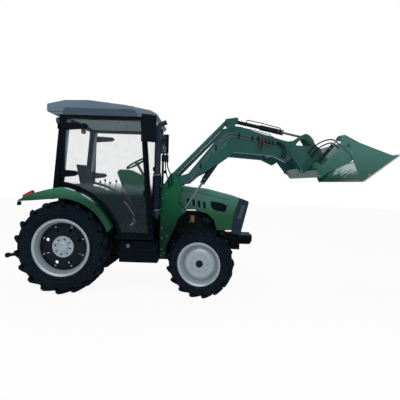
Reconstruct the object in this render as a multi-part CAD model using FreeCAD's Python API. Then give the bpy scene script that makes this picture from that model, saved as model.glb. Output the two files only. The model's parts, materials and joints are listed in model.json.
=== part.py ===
"""Compact farm tractor with a cab, a front loader and a clam bucket, in millimetres.

The machine faces +X, its left side is +Y and +Z is up.  Every length along X is first
counted from the rear axle; the finished parts are then moved so that the origin lies on
the ground under the middle of the whole machine.
"""
import FreeCAD, Part
import math
import os
from FreeCAD import Vector

# ---------------------------------------------------------------- driving dimensions

# wheels
WHEELBASE = 2136.0
REAR_TYRE_R = 707.5
REAR_TYRE_W = 380.0
REAR_SEAT_R = 405.0
REAR_LIP_R = 430.0
REAR_TRACK = 1370.0
FRONT_TYRE_R = 515.0
FRONT_TYRE_W = 240.0
FRONT_SEAT_R = 305.0
FRONT_LIP_R = 328.0
RIM_WALL = 9.0
DISC_T = 12.0
REAR_DISC_IN = 135.0
FRONT_DISC_IN = 70.0

# front axle and steering
KINGPIN_Y = 585.0
KINGPIN_R = 22.0
FRONT_OFFSET = 155.0
REST_STEER = 14.0
STEER_ARM = 150.0
TIE_ROD_R = 16.0
AXLE_TUBE_R = 50.0
RUN_FIT = 0.05
CLEAR = 5.0

# tractor body
TRUMPET_R = 95.0
BODY_HALF = 190.0
HOOD_HALF = 330.0
HOOD_WALL = 30.0
HOOD_ROUND = 46.0
CAB_HALF = 745.0
PILLAR = 62.0
FLOOR_Z = 905.0
FLOOR_T = 55.0
ROOF_Z = 2705.0
ROOF_HALF = 775.0
ROOF_ROUND = 38.0
GLASS_T = 6.0

# fenders over the rear wheels
FENDER_IN = 760.0
FENDER_OUT = 890.0
ARCH_IN = 470.0
ARCH_GAP = 37.5
ARCH_T = 32.0
CROWN = (-165.0, 603.0)
CROWN_R = 1032.0

# seat and steering column
SEAT_Z = 1440.0
SEAT_T = 120.0
COLUMN_LOW = (1110.0, 1793.0)
COLUMN_HIGH = (972.0, 2032.0)

# doors
DOOR_IN = 750.0
DOOR_T = 30.0
DOOR_RAIL = 46.0
DOOR_GAP = 35.0
DOOR_TOP = ROOF_Z - 15.0
DOOR_SILL = FLOOR_Z + 10.0
HINGE_X = -70.0
HINGE_Y = 795.0
HINGE_R = 9.0
HINGE_HEIGHTS = (1825.0, 2530.0)

# loader layers, as distances from the middle of the machine
ARM_Y = 500.0
ARM_HALF = 55.0
ARM_WALL = 10.0
TOWER_T = 12.0
TOWER_GAP = 5.0
TOWER_REAR = 1451.0
PLATE_T = 12.0
CRANK_GAP = 6.0
TILT_Y = 380.0

# loader pivots, X from the rear axle and Z from the ground
BOOM_PIN = (1686.0, 1749.0)
LIFT_FOOT = (1805.0, 1300.0)
LIFT_HEAD = (2470.0, 2321.0)
CRANK_PIN = (2505.0, 2616.0)
CRANK_REAR = (2449.0, 2718.0)
CRANK_FRONT = (2591.0, 2742.0)
LEVEL_FOOT = (BOOM_PIN[0] + CRANK_REAR[0] - CRANK_PIN[0],
              BOOM_PIN[1] + CRANK_REAR[1] - CRANK_PIN[1])
BOOM_TUBE = (3255.0, 2280.0)
CARRIER_PIN = (3484.0, 2281.0)
TILT_EYE = (3681.0, 2529.0)
TILT_TURN = math.degrees(math.atan2(TILT_EYE[1] - CRANK_FRONT[1], TILT_EYE[0] - CRANK_FRONT[0]))
FRAME_TOP = (3880.0, 2300.0)
FRAME_FOOT = (3680.0, 2008.0)
FRAME_TUBE_R = 40.0

# loader cylinders
LIFT_BARREL_R = 38.0
LIFT_BARREL_L = 700.0
LIFT_ROD_R = 19.0
LIFT_ROD_L = 745.0
TILT_TAIL_R = 30.0
TILT_TAIL_L = 408.0
TILT_BARREL_R = 42.0
TILT_BARREL_L = 788.0
TILT_ROD_R = 18.0
TILT_ROD_L = 560.0
LEVEL_ROD_R = 32.0
PIN_R = 18.0
BIG_PIN_R = 24.0

# clam bucket
BUCKET_HALF = 920.0
BUCKET_T = 12.0
CLAM_GAP = 8.0
BACK_FOOT = (3762.0, 1995.0)
BACK_TURN = 44.8
BACK_L = 610.0
BLADE_LIP = (3848.0, 1891.0)
CLAM_PIN = (4203.0, 2354.0)
CLAM_FOOT = (3758.0, 2061.0)
CLAM_HEAD = (4067.0, 2453.0)
CLAM_HEEL = (4424.0, 1827.0)
CLAM_TIP = (4968.0, 2253.0)
CLAM_CYL_Y = 862.0
CLAM_EYE_HALF = 22.0
CLAM_BARREL_R = 28.0
CLAM_BARREL_L = 390.0
CLAM_ROD_R = 14.0
CLAM_ROD_L = 310.0

# rear hitch
LINK_END = (-1040.0, 473.0)
LINK_END_Y = 400.0

MIDDLE_X = (LINK_END[0] - 40.0 + CLAM_TIP[0]) / 2.0


# ---------------------------------------------------------------- small helpers

def box(x, y, z):
    """A box from three (low, high) pairs."""
    return Part.makeBox(x[1] - x[0], y[1] - y[0], z[1] - z[0], Vector(x[0], y[0], z[0]))


def rod(a, b, radius):
    """A round bar between two points."""
    start, end = Vector(*a), Vector(*b)
    return Part.makeCylinder(radius, (end - start).Length, start, end - start)


def cross_rod(point, radius, y0, y1):
    """A round bar along Y at an (x, z) point."""
    return rod((point[0], y0, point[1]), (point[0], y1, point[1]), radius)


def slab(outline, y0, y1):
    """A flat plate with a side-view outline of (x, z) points, from y0 to y1."""
    corners = [Vector(x, y0, z) for x, z in outline]
    face = Part.Face(Part.makePolygon(corners + corners[:1]))
    return face.extrude(Vector(0, y1 - y0, 0))


def fuse(*shapes):
    """One shape from several that overlap or touch."""
    joined = shapes[0]
    for shape in shapes[1:]:
        joined = joined.fuse(shape)
    return joined.removeSplitter()


def group(*shapes):
    """Pieces that share a node without touching."""
    return Part.makeCompound([solid for shape in shapes for solid in shape.Solids])


def mirrored(shape):
    """The same piece on the other side of the machine."""
    return shape.mirror(Vector(0, 0, 0), Vector(0, 1, 0))


def both(shape):
    """A piece and its mirror image, as one group."""
    return group(shape, mirrored(shape))


def bored(shape, *holes):
    """A shape with holes cut through it."""
    for hole in holes:
        shape = shape.cut(hole)
    return shape


def polar(centre, radius, degrees):
    """A point at a distance and an angle from a centre, in the side view."""
    turn = math.radians(degrees)
    return (centre[0] + radius * math.cos(turn), centre[1] + radius * math.sin(turn))


def heading(a, b):
    """The angle of the line from a to b, in degrees."""
    return math.degrees(math.atan2(b[1] - a[1], b[0] - a[0]))


def span(a, b):
    """The distance from a to b in the side view."""
    return math.hypot(b[0] - a[0], b[1] - a[1])


def between(a, b, length):
    """The point on the line from a towards b at a distance from a."""
    return polar(a, length, heading(a, b))


def arc_points(centre, radius, start, end, steps):
    """Evenly spaced points on an arc."""
    return [polar(centre, radius, start + (end - start) * i / steps) for i in range(steps + 1)]


def link_plate(a, b, ra, rb, y0, y1):
    """A plate with round ends about two pins."""
    turn = heading(a, b)
    web = [polar(a, ra, turn + 90), polar(a, ra, turn - 90),
           polar(b, rb, turn - 90), polar(b, rb, turn + 90)]
    return fuse(cross_rod(a, ra, y0, y1), slab(web, y0, y1), cross_rod(b, rb, y0, y1))


def lathe(profile):
    """A ring or disc turned about the Y axis from (radius, y) points."""
    corners = [Vector(r, y, 0) for r, y in profile]
    face = Part.Face(Part.makePolygon(corners + corners[:1]))
    return face.revolve(Vector(0, 0, 0), Vector(0, 1, 0), 360)


def tube_path(points, radius, bend):
    """A round pipe along straight runs joined by tangent arcs."""
    corners = [Vector(*p) for p in points]
    edges = []
    last = corners[0]
    for before, corner, after in zip(corners, corners[1:], corners[2:]):
        into = (corner - before).normalize()
        out = (after - corner).normalize()
        half = into.getAngle(out) / 2.0
        cut = bend * math.tan(half)
        start = corner - into * cut
        end = corner + out * cut
        side = (out - into).normalize()
        middle = corner + side * (bend / math.cos(half) - bend)
        edges.append(Part.LineSegment(last, start).toShape())
        edges.append(Part.Arc(start, middle, end).toShape())
        last = end
    edges.append(Part.LineSegment(last, corners[-1]).toShape())
    path = Part.Wire(edges)
    ring = Part.Wire([Part.Circle(corners[0], corners[1] - corners[0], radius).toShape()])
    return path.makePipeShell([ring], True, False)


# ---------------------------------------------------------------- wheels

def faceted(profile, count):
    """A ring about the Y axis with flat facets, from (radius, y) points."""
    def corner(step, point):
        x, z = polar((0.0, 0.0), point[0], 360.0 * step / count)
        return Vector(x, point[1], z)
    faces = []
    for step in range(count):
        for low, high in zip(profile, profile[1:] + profile[:1]):
            corners = [corner(step, low), corner(step + 1, low),
                       corner(step + 1, high), corner(step, high)]
            faces.append(Part.Face(Part.makePolygon(corners + corners[:1])))
    solid = Part.Solid(Part.Shell(faces))
    return solid if solid.Volume > 0 else solid.reversed()


def tread_bar(radius, width, base, thick, reach):
    """One bar of the tread, slanting from the tyre's middle to its left shoulder."""
    top = math.sqrt(radius ** 2 - reach ** 2)
    corners = [Vector(base - 46, y, t) for y, t in
               ((-6.0, -reach), (-6.0, thick - reach),
                (width / 2.0 - 2.0, reach), (width / 2.0 - 2.0, reach - thick))]
    face = Part.Face(Part.makePolygon(corners + corners[:1]))
    return face.extrude(Vector(top - base + 46, 0, 0))


def tyre(radius, width, seat, lip, bars, bar_h, bar_w, facets):
    """A farm tyre about the Y axis: its carcass with the bars of the tread."""
    half = width / 2.0
    wall = (radius + lip) / 2.0
    stretch = 1.0 / math.cos(math.pi / facets)
    base = (radius - bar_h) * stretch
    side = [(seat * stretch, half - 30), (lip * stretch, half - 22), (wall, half),
            (base - 34, half - 12), (base, half * 0.6)]
    carcass = faceted([(r, -y) for r, y in side] + side[::-1], facets)
    reach = width * 0.18 + bar_w / 2.0
    blocks = []
    for flip in (False, True):
        for i in range(bars):
            block = tread_bar(radius, width, base, bar_w, reach)
            if flip:
                block = mirrored(block)
            turn = 360.0 * (i + 0.5 * flip) / bars + math.degrees(math.asin(reach / radius))
            block.rotate(Vector(0, 0, 0), Vector(0, 1, 0), turn)
            blocks.append(block)
    return group(carcass.fuse(blocks)).Solids[0]


def rim(width, seat, lip, disc_in, hub_r, bore_r, holes, hole_at, hole_r):
    """A rim with its holed disc set in from the outer lip, and its hub boss."""
    edge = width / 2.0 - 22.0
    inner = seat - RIM_WALL
    disc = edge - disc_in
    ring = lathe([(inner, -edge), (lip, -edge), (seat, -edge + 8),
                  (seat, edge - 8), (lip, edge), (inner, edge)])
    web = lathe([(0, disc - DISC_T), (inner, disc - DISC_T), (inner, disc), (hub_r, disc),
                 (hub_r, disc + 10), (0, disc + 10)])
    stub = lathe([(0, disc - DISC_T - 90), (bore_r, disc - DISC_T - 90),
                  (bore_r, disc - DISC_T), (0, disc - DISC_T)])
    cuts = []
    for i in range(holes):
        x, z = polar((0.0, 0.0), hole_at, 360.0 * (i + 0.5) / holes)
        cuts.append(rod((x, disc - DISC_T - 1, z), (x, disc + 1, z), hole_r))
    return bored(fuse(ring, web, stub), *cuts)


def rear_wheel(side):
    """The tyre and rim of one rear wheel; side is 1 on the left and -1 on the right."""
    rubber = tyre(REAR_TYRE_R, REAR_TYRE_W, REAR_SEAT_R, REAR_LIP_R, 18, 34.0, 46.0, 24)
    metal = rim(REAR_TYRE_W, REAR_SEAT_R, REAR_LIP_R, REAR_DISC_IN, 165.0, 42.0, 8, 262.0, 25.0)
    return [set_wheel(s, side, REAR_TRACK / 2.0, 0.0, REAR_TYRE_R, 0.0) for s in (rubber, metal)]


def set_wheel(shape, side, y, x, z, steer):
    """Moves a wheel that was made about the Y axis to its place."""
    if side < 0:
        shape = mirrored(shape)
    shape = shape.copy()
    shape.translate(Vector(0, side * y, 0))
    if steer:
        shape.rotate(Vector(0, side * KINGPIN_Y, 0), Vector(0, 0, 1), -steer)
    shape.translate(Vector(x, 0, z))
    return shape


def front_wheel(side):
    """The tyre and rim of one front wheel, turned with the steering."""
    rubber = tyre(FRONT_TYRE_R, FRONT_TYRE_W, FRONT_SEAT_R, FRONT_LIP_R, 16, 24.0, 34.0, 18)
    metal = rim(FRONT_TYRE_W, FRONT_SEAT_R, FRONT_LIP_R, FRONT_DISC_IN, 130.0, 32.0, 8, 205.0, 9.0)
    place = KINGPIN_Y + FRONT_OFFSET
    return [set_wheel(s, side, place, WHEELBASE, FRONT_TYRE_R, REST_STEER)
            for s in (rubber, metal)]


# ---------------------------------------------------------------- axles and steering

def front_axle():
    """The live front axle: centre housing, tubes and kingpin housings."""
    z = FRONT_TYRE_R
    housing = fuse(rod((WHEELBASE, -150, z), (WHEELBASE, 150, z), 112.0),
                   rod((WHEELBASE - 125, 0, z), (WHEELBASE + 125, 0, z), 90.0))
    tubes = rod((WHEELBASE, -KINGPIN_Y, z), (WHEELBASE, KINGPIN_Y, z), AXLE_TUBE_R)
    beam = fuse(housing, tubes)
    for side in (-1, 1):
        y = side * KINGPIN_Y
        beam = beam.fuse(rod((WHEELBASE, y, z - 60), (WHEELBASE, y, z + 60), 55.0))
        beam = beam.cut(rod((WHEELBASE, y, z - 70), (WHEELBASE, y, z + 70), KINGPIN_R + RUN_FIT))
    return beam.removeSplitter()


def knuckle(side):
    """One steering knuckle: fork, kingpin, hub carrier and steering arm."""
    y = KINGPIN_Y
    low, high = -60.0 - CLEAR - 25.0, 60.0 + CLEAR + 25.0
    hub_end = FRONT_OFFSET + FRONT_TYRE_W / 2.0 - 22.0 - FRONT_DISC_IN - DISC_T - CLEAR
    pin = rod((0, y, low), (0, y, high), KINGPIN_R)
    top = rod((0, y, 60 + CLEAR), (0, y, high), 60.0)
    foot = rod((0, y, low), (0, y, -60 - CLEAR), 60.0)
    top_bridge = box((-50, 50), (y, y + 100), (60 + CLEAR, high))
    foot_bridge = box((-50, 50), (y, y + 100), (low, -60 - CLEAR))
    back = box((-50, 50), (y + 75, y + 110), (low, high))
    hub = rod((0, y + 75, 0), (0, y + hub_end, 0), 80.0)
    arm = box((-STEER_ARM, 0), (y - 18, y + 18), (low - 20, low))
    ball = rod((-STEER_ARM, y, low - 20), (-STEER_ARM, y, low), 24.0)
    stud = rod((-STEER_ARM, y, low - 60), (-STEER_ARM, y, low), 11.0)
    post = rod((0, y, low - 20), (0, y, low), 60.0)
    body = fuse(pin, top, foot, top_bridge, foot_bridge, back, hub, arm, ball, stud, post)
    body = body.cut(rod((0, y + 60, 0), (0, y + 200, 0), 32.0 + RUN_FIT))
    return set_wheel(body, side, 0.0, WHEELBASE, FRONT_TYRE_R, REST_STEER)


def tie_rod():
    """The rod that joins the two steering arms."""
    turn = math.radians(REST_STEER)
    x = WHEELBASE - STEER_ARM * math.cos(turn)
    shift = STEER_ARM * math.sin(turn)
    z = FRONT_TYRE_R - 60.0 - CLEAR - 25.0 - 40.0
    left, right = KINGPIN_Y + shift, -KINGPIN_Y + shift
    bar = rod((x, right, z), (x, left, z), TIE_ROD_R)
    ends = [rod((x, y, z - 19), (x, y, z + 19), 24.0) for y in (left, right)]
    holes = [rod((x, y, z - 60), (x, y, z + 60), 11.0 + RUN_FIT) for y in (left, right)]
    return bored(fuse(bar, *ends), *holes)


def rear_axle():
    """Transmission and rear axle housing, from the rear cover to the engine."""
    z = REAR_TYRE_R
    inner = REAR_TRACK / 2.0 + REAR_TYRE_W / 2.0 - 22.0 - REAR_DISC_IN - DISC_T - CLEAR
    case = box((-260, 700), (-BODY_HALF, BODY_HALF), (500, FLOOR_Z - FLOOR_T))
    mid = box((700, 1370), (-170, 170), (520, 740))
    trumpets = rod((0, -inner, z), (0, inner, z), TRUMPET_R)
    body = fuse(case, mid, trumpets)
    bores = [rod((0, side * (inner - 100), z), (0, side * (inner + 10), z), 42.0 + RUN_FIT)
             for side in (-1, 1)]
    return bored(body, *bores)


def front_frame():
    """The frame rails and saddles that carry the engine on the front axle."""
    rails = box((1370, 2760), (-170, 170), (640, 740))
    saddles = [box(x, (-90, 90), (430, 640)) for x in
               ((WHEELBASE - 175, WHEELBASE - 125), (WHEELBASE + 125, WHEELBASE + 175))]
    bumper = slab([(2560, 740), (2925, 740), (2960, 800), (2960, 890), (2560, 890)], -200, 200)
    hole = rod((2905, 0, 730), (2905, 0, 900), 16.0)
    shaft_cover = box((1385, 1780), (-115, 115), (420, 640))
    return fuse(rails, bumper, shaft_cover, *saddles).cut(hole)


def engine():
    """The engine as one plain block."""
    block = box((1370, 2250), (-180, 180), (740, 1250))
    radiator = box((2420, 2500), (-280, 280), (890, 1440))
    fan_box = box((2250, 2420), (-120, 120), (890, 1200))
    prop = slab([(2440, 1440), (2440, 1560.6), (2480, 1551.4), (2480, 1440)], -40, 40)
    return fuse(block, fan_box, radiator, prop)


# ---------------------------------------------------------------- bodywork

def hood_outline():
    """The side outline of the hood, clockwise from its rear lower corner."""
    return [(1430, 1290), (1430, 1720), (1767, 1691), (2183, 1650), (2644, 1544),
            (2713, 1518), (2684, 1421), (2624, 1239), (2599, 985), (2564, 983), (2357, 977),
            (2308, 1140), (2196, 1246), (1985, 1305)]


def shouldered(shape, low, radius):
    """A plate's body with its long upper edges rounded, on both sides and above a height."""
    edges = [e for e in shape.Edges
             if abs(e.Vertexes[0].Y - e.Vertexes[1].Y) < 0.1
             and min(v.Z for v in e.Vertexes) > low]
    return shape.makeFillet(radius, edges)


def hood():
    """The engine hood, a shell that is open below."""
    outer = shouldered(slab(hood_outline(), -HOOD_HALF, HOOD_HALF), 1510, HOOD_ROUND)
    inside = HOOD_HALF - HOOD_WALL
    hollow = slab([(1400, 1200), (1400, 1720 - HOOD_WALL), (1767, 1691 - HOOD_WALL),
                   (2183, 1650 - HOOD_WALL), (2644, 1544 - HOOD_WALL),
                   (2760, 1500 - HOOD_WALL), (2760, 900), (1985, 900)], -inside, inside)
    slots = []
    for i in range(4):
        x, z = 1846 + 90 * i, 1492 - 18 * i
        slot = slab([(x, z), (x + 44, z - 6), (x + 50, z - 116), (x + 12, z - 106)], -500, 500)
        slots.append(slot.cut(box((1700, 2400), (-HOOD_HALF + 12, HOOD_HALF - 12), (1200, 1600))))
    return bored(outer, hollow, *slots)


def hood_panels():
    """The dark vent panels on both sides of the hood, with their slits."""
    panel = slab([(2240, 1436), (2262, 1452), (2440, 1424), (2500, 1396), (2512, 1370),
                  (2492, 1296), (2470, 1284), (2310, 1306), (2258, 1350)],
                 HOOD_HALF, HOOD_HALF + 8)
    slits = [slab([(2275, z), (2480, z - 22), (2480, z - 36), (2275, z - 14)],
                  HOOD_HALF + 3, HOOD_HALF + 9) for z in (1428, 1396, 1364, 1332)]
    return both(bored(panel, *slits))


def nose_x(z):
    """Where the nose's front face is at a height."""
    return 2765.0 + (z - 985.0) * (2871.0 - 2765.0) / (1450.0 - 985.0)


def grille():
    """The dark nose with its grille, in front of the hood."""
    outer = slab([(2713, 1518), (2800, 1492), (2866, 1468), (2871, 1450), (2765, 985),
                  (2758, 925), (2600, 925), (2599, 985), (2624, 1239), (2684, 1421)],
                 -HOOD_HALF, HOOD_HALF)
    outer = shouldered(outer, 1460, HOOD_ROUND)
    inside = HOOD_HALF - HOOD_WALL
    hollow = slab([(2540, 1300), (2660, 1488), (2800, 1458), (2838, 1440), (2734, 985),
                   (2728, 890), (2540, 890)], -inside, inside)
    slits = []
    for i in range(8):
        z = 1040 + 46 * i
        x = nose_x(z)
        slits.append(slab([(x - 16, z), (x + 40, z), (x + 44, z + 18), (x - 12, z + 18)],
                          -250, 250))
    return bored(outer, hollow, *slits)


def crown_x(z, extra=0.0):
    """Where the fender's crown is at a height, grown by extra."""
    reach = CROWN_R + extra
    return CROWN[0] + math.sqrt(reach ** 2 - (z - CROWN[1]) ** 2)


def fender_outline():
    """The side outline of a rear fender."""
    centre = (0.0, REAR_TYRE_R)
    under = REAR_TYRE_R + ARCH_GAP
    start = math.degrees(math.atan2(1040 - CROWN[1], crown_x(1040) - CROWN[0]))
    end = math.degrees(math.acos(-CROWN[0] / CROWN_R))
    top = arc_points(CROWN, CROWN_R, start, end, 12)
    tail = [(-213, 1575), (-420, 1515), (-632, 1408), (-632, 1392), (-400, 1412)]
    below = arc_points(centre, under, 101.0, 20.0, 12)
    return top + tail + below


def fenders():
    """Both rear fenders outside the cab."""
    return both(slab(fender_outline(), FENDER_IN, FENDER_OUT))


def cab_base():
    """The cab's floor, firewall and the inner wheel arches."""
    centre = (0.0, REAR_TYRE_R)
    under = REAR_TYRE_R + ARCH_GAP
    floor = box((-150, 1366), (-ARCH_IN, ARCH_IN), (FLOOR_Z - FLOOR_T, FLOOR_Z))
    sill = box((790, 1366), (-CAB_HALF, CAB_HALF), (FLOOR_Z - FLOOR_T, FLOOR_Z))
    rear_wall = box((-150, -110), (-ARCH_IN, ARCH_IN), (FLOOR_Z, 1600))
    firewall = slab([(1290, FLOOR_Z), (1366, FLOOR_Z), (1338, 1230), (1290, 1230)],
                    -CAB_HALF + PILLAR, CAB_HALF - PILLAR)
    body = fuse(floor, sill, rear_wall, firewall)
    ring = (arc_points(centre, under + ARCH_T, 15.4, 105.0, 14)
            + arc_points(centre, under, 105.0, 15.4, 14))
    wall = arc_points(centre, under + ARCH_T, 15.4, 105.0, 14) + [(-200, 860), (700, 860)]
    arch = fuse(slab(ring, ARCH_IN - 30, FENDER_IN), slab(wall, ARCH_IN - 30, ARCH_IN))
    return fuse(body, arch, mirrored(arch))


def pillar(low, high, width, z0, z1):
    """One leaning pillar, by its outer edge at two heights."""
    slope = (high[0] - low[0]) / (high[1] - low[1])
    edge = [(low[0] + (z - low[1]) * slope, z) for z in (z0, z1)]
    return slab([edge[0], edge[1], (edge[1][0] + width, z1), (edge[0][0] + width, z0)],
                CAB_HALF - PILLAR, CAB_HALF)


def cab_frame():
    """The cab's four pillars with the rails that join them."""
    rear = pillar((-170, 1600), (-84, 2602), 92.0, 1500, ROOF_Z)
    front = pillar((1366, 904), (1244, 2340), -PILLAR, FLOOR_Z, ROOF_Z)
    side_rail = box((-60, 1190), (CAB_HALF - PILLAR, CAB_HALF), (ROOF_Z - 60, ROOF_Z))
    corner = fuse(rear, front, side_rail)
    rear_rail = box((-70, -10), (-CAB_HALF + PILLAR, CAB_HALF - PILLAR), (ROOF_Z - 60, ROOF_Z))
    rear_low = box((-164, -84), (-CAB_HALF + PILLAR, CAB_HALF - PILLAR), (1600, 1660))
    front_rail = box((1150, 1200), (-CAB_HALF + PILLAR, CAB_HALF - PILLAR), (ROOF_Z - 60, ROOF_Z))
    return fuse(corner, mirrored(corner), rear_rail, rear_low, front_rail)


def cab_roof():
    """The cab roof."""
    side = [(-257, 2740), (-257, 2865), (0, 2925), (349, 2935), (900, 2880), (1283, 2812),
            (1383, 2759), (1330, ROOF_Z), (-150, ROOF_Z)]
    roof = shouldered(slab(side, -ROOF_HALF, ROOF_HALF), 2750, ROOF_ROUND)
    band = slab([(-300, 2735), (-300, 2748), (1420, 2748), (1420, 2735)], -900, 900)
    band = band.cut(slab([(-247, 2700), (-247, 2800), (1373, 2800), (1373, 2700)],
                         -ROOF_HALF + 10, ROOF_HALF - 10))
    eyes = []
    for x, z in ((-60, 2900), (960, 2860)):
        for y in (-560, 560):
            eye = box((x - 30, x + 30), (y - 8, y + 8), (z - 10, z + 44))
            eyes.append(eye.cut(rod((x, y - 20, z + 24), (x, y + 20, z + 24), 11.0)))
    return fuse(roof.cut(band), *eyes)


def windscreen():
    """The front glass between the pillars."""
    half = CAB_HALF - PILLAR
    lean = (1244 - 1366) / (2340 - 904)
    low = 1366 + (1230 - 904) * lean
    high = 1366 + (ROOF_Z - 904) * lean
    return slab([(low, 1230), (high, ROOF_Z), (high - GLASS_T, ROOF_Z), (low - GLASS_T, 1230)],
                -half, half)


def rear_window():
    """The rear glass between the pillars."""
    half = CAB_HALF - PILLAR
    return slab([(-130, 1660), (-50, ROOF_Z - 60), (-50 + GLASS_T, ROOF_Z - 60),
                 (-130 + GLASS_T, 1660)], -half, half)


def door_outline(inset):
    """The side outline of a door, drawn in by inset all round."""
    reach = DOOR_GAP + inset
    low_z = DOOR_SILL + inset
    start = math.degrees(math.atan2(low_z - CROWN[1], crown_x(low_z, reach) - CROWN[0]))
    rear_x = -38.0 + inset
    end = math.degrees(math.acos((rear_x - CROWN[0]) / (CROWN_R + reach)))
    sweep = arc_points(CROWN, CROWN_R + reach, start, end, 12)
    lean = (1190.0 - 1335.0) / (DOOR_TOP - DOOR_SILL)
    front_low = 1335.0 - inset + inset * lean
    front_high = 1190.0 - inset
    return [(front_low, low_z)] + sweep + [(rear_x + 18, DOOR_TOP - inset),
                                           (front_high, DOOR_TOP - inset)]


def door_frame(side):
    """One door's frame with its two hinge arms."""
    outer = slab(door_outline(0.0), DOOR_IN, DOOR_IN + DOOR_T)
    frame = outer.cut(slab(door_outline(DOOR_RAIL), DOOR_IN - 1, DOOR_IN + DOOR_T + 1))
    for z, reach in zip(HINGE_HEIGHTS, (240.0, 375.0)):
        arm = slab([(HINGE_X + 38, z - 62), (HINGE_X + 38, z + 58), (reach - 40, z + 45),
                    (reach, z), (reach - 60, z - 35)], DOOR_IN + DOOR_T, DOOR_IN + DOOR_T + 20)
        knuckle_tube = rod((HINGE_X, HINGE_Y, z - 28), (HINGE_X, HINGE_Y, z + 28), 18.0)
        neck = box((HINGE_X, HINGE_X + 45), (DOOR_IN + DOOR_T + 3, DOOR_IN + DOOR_T + 17),
                   (z - 28, z + 28))
        hole = rod((HINGE_X, HINGE_Y, z - 40), (HINGE_X, HINGE_Y, z + 40), HINGE_R + RUN_FIT)
        frame = fuse(frame, arm, knuckle_tube, neck).cut(hole)
    return frame if side > 0 else mirrored(frame)


def door_glass(side):
    """One door's glass."""
    middle = DOOR_IN + DOOR_T / 2.0
    pane = slab(door_outline(DOOR_RAIL), middle - GLASS_T / 2.0, middle + GLASS_T / 2.0)
    return pane if side > 0 else mirrored(pane)


def door_hinges():
    """The hinge brackets and pins on the rear pillars."""
    pieces = []
    for z in HINGE_HEIGHTS:
        for low, high in ((z - 42, z - 30), (z + 30, z + 42)):
            plate = box((HINGE_X - 20, HINGE_X + 20), (CAB_HALF, HINGE_Y), (low, high))
            nose = rod((HINGE_X, HINGE_Y, low), (HINGE_X, HINGE_Y, high), 20.0)
            pieces += [plate, nose]
        pieces.append(rod((HINGE_X, HINGE_Y, z - 42), (HINGE_X, HINGE_Y, z + 42), HINGE_R))
        pieces.append(box((HINGE_X - 20, HINGE_X + 12), (CAB_HALF, CAB_HALF + 4),
                          (z - 42, z + 42)))
    lower = fuse(*pieces[:6])
    upper = fuse(*pieces[6:])
    return both(group(lower, upper))


def seat():
    """The driver's seat on its pedestal."""
    base = box((180, 520), (-150, 150), (FLOOR_Z, SEAT_Z))
    cushion = box((120, 600), (-240, 240), (SEAT_Z, SEAT_Z + SEAT_T))
    back = slab([(90, SEAT_Z + 70), (-10, SEAT_Z + 535), (88, SEAT_Z + 565),
                 (205, SEAT_Z + SEAT_T)], -230, 230)
    return fuse(base, cushion, back)


def console():
    """The dashboard, the steering column and the panel beside the seat."""
    dash = slab([(1000, FLOOR_Z), (960, 1300), (880, 1500), (770, 1600), (664, 1880),
                 (700, 1925), (860, 1925), (1010, 1856), (1105, 1840), (1200, 1500),
                 (1286, 1230), (1286, FLOOR_Z)], -180, 180)
    column = rod((COLUMN_LOW[0], 0, COLUMN_LOW[1]), (COLUMN_HIGH[0], 0, COLUMN_HIGH[1]), 22.0)
    side_panel = box((150, 820), (-400, -300), (FLOOR_Z, SEAT_Z + SEAT_T))
    return group(fuse(dash, column), side_panel)


def steering_wheel():
    """The steering wheel on its hub."""
    turn = Vector(COLUMN_HIGH[0] - COLUMN_LOW[0], 0, COLUMN_HIGH[1] - COLUMN_LOW[1])
    axis = turn.normalize()
    centre = Vector(COLUMN_HIGH[0], 0, COLUMN_HIGH[1]) + axis * 14.0
    ring = Part.makeTorus(190.0, 15.0, centre + axis * 10.0, axis)
    hub = Part.makeCylinder(30.0, 26.0, centre - axis * 13.5, axis)
    spokes = []
    across = axis.cross(Vector(0, 1, 0)).normalize()
    for step in range(3):
        turned = FreeCAD.Rotation(axis, 90 + 120 * step).multVec(across)
        start = centre + turned * 10.0
        end = centre + turned * 188.0 + axis * 8.0
        spokes.append(Part.makeCylinder(10.0, (end - start).Length, start, end - start))
    return fuse(ring, hub, *spokes)


def side_boxes():
    """The fuel tank and the battery box under the doors, with their brackets."""
    tank = box((841, 1440), (460, 700), (485, 800))
    step = box((841, 1440), (460, 720), (800, 818))
    bracket = box((900, 1340), (170, 460), (600, 700))
    return both(fuse(tank, step, bracket))


EXHAUST = (1398.0, -662.0)


def exhaust():
    """The exhaust stack: elbow, silencer, pipe and outlet."""
    x, y = EXHAUST
    silencer = fuse(rod((x, y, 1256), (x, y, 1879), 58.0), rod((x, y, 1879), (x, y, 2290), 50.0))
    pipe = tube_path([(x, y, 1879), (x, y, 2600), (x + 125, y, 2655)], 36.0, 90.0)
    elbow = tube_path([(x, y, 1256), (x, y, 1190), (x, -180, 1190)], 38.0, 55.0)
    return fuse(silencer, pipe, elbow)


def mirrors():
    """Both mirrors on their arms."""
    x, z = 1250.0, 2500.0
    arm = tube_path([(1216, CAB_HALF, 2560), (1216, CAB_HALF + 100, 2560),
                     (1310, 1000, 2560)], 9.0, 50.0)
    head = box((-30, 30), (-105, 105), (-188, 188))
    head.rotate(Vector(0, 0, 0), Vector(0, 0, 1), 55.0)
    head.translate(Vector(x + 55, 1010, z))
    return both(fuse(arm, head))


def lamps():
    """Head lamps on the nose and work lamps under the roof."""
    head = slab([(2752, 1402), (2812, 1394), (2744, 1172), (2692, 1176)],
                HOOD_HALF, HOOD_HALF + 10)
    front_work = rod((1290, 480, 2650), (1350, 480, 2650), 50.0)
    stem = rod((1318, 480, 2660), (1318, 480, ROOF_Z), 12.0)
    rear_work = rod((-190, 560, 2645), (-130, 560, 2645), 50.0)
    rear_stem = box((-149, -131), (545, 575), (2660, ROOF_Z))
    return both(group(head, fuse(front_work, stem), fuse(rear_work, rear_stem)))


def tail_lamps():
    """The red lamps on the rear fenders."""
    return both(slab([(-420, 1515), (-570, 1441), (-560, 1490), (-430, 1560)],
                     FENDER_IN + 30, FENDER_OUT - 20))


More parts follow.
